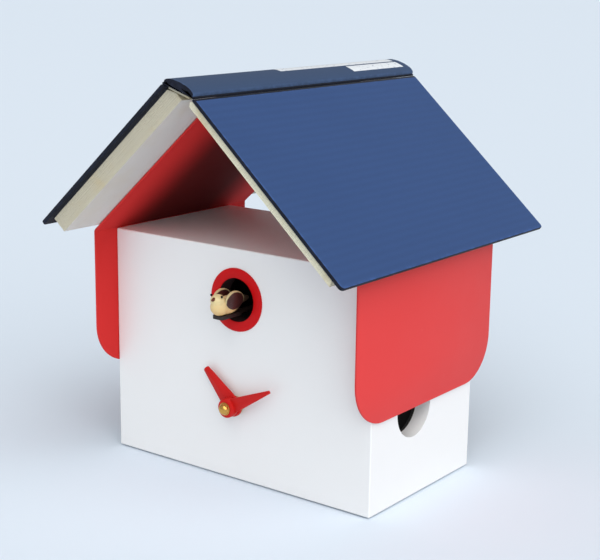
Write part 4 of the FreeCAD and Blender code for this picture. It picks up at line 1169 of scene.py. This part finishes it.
class CLOCK_OT_works(ClockOperator, bpy.types.Operator):
    """Finish the movement, the cuckoo drive, the speaker and the boards inside"""

    bl_idname = "clock.works"
    bl_label = "Works"

    def execute(self, context):
        finishes = {
            moulded_plastic("works_black", (0.018, 0.018, 0.02), 0.5):
                ("movement_front_shell", "movement_rear_shell", "speaker_basket", "cuckoo_frame", "carriage"),
            moulded_plastic("acetal", (0.72, 0.7, 0.62), 0.38):
                ("motion_wheel", "third_wheel", "hour_wheel", "drive_gear", "board_spacers", "setting_knob"),
            polished_brass("wheel_brass", (0.7, 0.52, 0.24), centre_of("centre_wheel")): ("centre_wheel",),
            metal("ground_steel", (0.66, 0.66, 0.68), 0.2):
                ("guide_rods", "gear_motor", "frame_screws", "stator"),
            metal("copper_winding", (0.72, 0.33, 0.16), 0.35, (0.02, 1.0, 1.0)): ("coil",),
            metal("dark_magnet", (0.12, 0.12, 0.13), 0.5): ("rotor", "speaker_magnet"),
            circuit_board(): ("movement_board", "main_board"),
            brushed_paint("cone_pulp", (0.02, 0.02, 0.022), (0.05, 0.05, 0.05), 0.8): ("speaker_cone",),
        }
        for material, nodes in finishes.items():
            paint_nodes(material, *nodes)
        return {"FINISHED"}


class CLOCK_OT_stage(ClockOperator, bpy.types.Operator):
    """Lay the floor and set the lights and the camera"""

    bl_idname = "clock.stage"
    bl_label = "Stage"

    FLOOR_REACH = 30.0
    TOWARDS_LIGHT = (0.62, -0.35, 0.7)
    CAMERA_PLACE = (0.50662, -0.66904, 0.31577)
    AZIMUTH, ELEVATION, ROLL = (math.radians(angle) for angle in (36.823, 13.241, 0.764))

    def execute(self, context):
        stage = context.scene.clock_stage
        self.floor(context.scene, stage)
        self.surround(context.scene, stage)
        data = bpy.data.lights.new("soft_key", "SUN")
        data.energy = stage.key
        data.angle = stage.softness
        lamp = self.linked(context.scene, "soft_key", data)
        lamp.rotation_euler = Vector(self.TOWARDS_LIGHT).to_track_quat("Z", "Y").to_euler()
        self.camera(context.scene)
        return {"FINISHED"}

    def linked(self, scene, name, data):
        made = bpy.data.objects.new(name, data)
        scene.collection.objects.link(made)
        return made

    def floor(self, scene, stage):
        bm = bmesh.new()
        bmesh.ops.create_grid(bm, x_segments=2, y_segments=2, size=self.FLOOR_REACH)
        mesh = bpy.data.meshes.new("floor")
        bm.to_mesh(mesh)
        bm.free()
        mesh.materials.append(Paint("pale_floor", stage.floor, 0.9, Specular_IOR_Level=0.1).material)
        self.linked(scene, "floor", mesh)

    def surround(self, scene, stage):
        """Even light from all round, weaker from behind the clock."""
        world = bpy.data.worlds.new("surround")
        scene.world = world
        world.use_nodes = True
        tree = world.node_tree
        sky = tree.nodes["Background"]
        sky.inputs["Color"].default_value = (*stage.sky, 1)
        ramp = tree.nodes.new("ShaderNodeMapRange")
        for label, value in (("From Min", 0.9), ("From Max", -0.5), ("To Min", stage.ambient * 0.3),
                             ("To Max", stage.ambient)):
            ramp.inputs[label].default_value = value
        split = tree.nodes.new("ShaderNodeSeparateXYZ")
        tree.links.new(tree.nodes.new("ShaderNodeTexCoord").outputs["Generated"], split.inputs[0])
        tree.links.new(split.outputs["Y"], ramp.inputs["Value"])
        tree.links.new(ramp.outputs["Result"], sky.inputs["Strength"])

    def camera(self, scene):
        data = bpy.data.cameras.new("view")
        data.sensor_width = 36.0
        data.lens = 81.25
        data.clip_start = 0.05
        data.clip_end = 50.0
        turn, lift, roll = self.AZIMUTH, self.ELEVATION, self.ROLL
        back = Vector((math.sin(turn) * math.cos(lift), -math.cos(turn) * math.cos(lift), math.sin(lift)))
        right = Vector((math.cos(turn), math.sin(turn), 0))
        up = back.cross(right)
        right, up = (right * math.cos(roll) + up * math.sin(roll),
                     up * math.cos(roll) - right * math.sin(roll))
        camera = self.linked(scene, "view", data)
        camera.matrix_world = frame_matrix(right, up, back, self.CAMERA_PLACE)
        scene.camera = camera
        scene.view_settings.view_transform = "Standard"
        scene.view_settings.look = "None"


class CLOCK_PT_panel(bpy.types.Panel):
    """Sidebar panel that lists the clock's pieces"""

    bl_idname = "CLOCK_PT_panel"
    bl_label = "Book Roof Clock"
    bl_space_type = "VIEW_3D"
    bl_region_type = "UI"
    bl_category = "Clock"

    def draw(self, context):
        for operator in OPERATORS:
            self.layout.operator(operator.bl_idname)
        for label in SETTINGS:
            group = getattr(context.scene, label)
            box = self.layout.box()
            for field in group.bl_rna.properties:
                if field.identifier not in ("rna_type", "name"):
                    box.prop(group, field.identifier)


SETTINGS = {
    "clock_case": CLOCK_PG_case,
    "clock_book": CLOCK_PG_book,
    "clock_hands": CLOCK_PG_hands,
    "clock_bird": CLOCK_PG_bird,
    "clock_stage": CLOCK_PG_stage,
}
OPERATORS = (CLOCK_OT_case, CLOCK_OT_back, CLOCK_OT_saddle, CLOCK_OT_ring, CLOCK_OT_covers, CLOCK_OT_pages,
             CLOCK_OT_spine, CLOCK_OT_hands, CLOCK_OT_bird, CLOCK_OT_works, CLOCK_OT_stage)
CLASSES = (*SETTINGS.values(), *OPERATORS, CLOCK_PT_panel)


def register():
    for item in CLASSES:
        bpy.utils.register_class(item)
    for label, group in SETTINGS.items():
        setattr(bpy.types.Scene, label, PointerProperty(type=group))


def unregister():
    for label in SETTINGS:
        delattr(bpy.types.Scene, label)
    for item in reversed(CLASSES):
        bpy.utils.unregister_class(item)


def main():
    register()
    for operator in OPERATORS:
        group, name = operator.bl_idname.split(".")
        getattr(getattr(bpy.ops, group), name)()


if __name__ == "__main__":
    main()
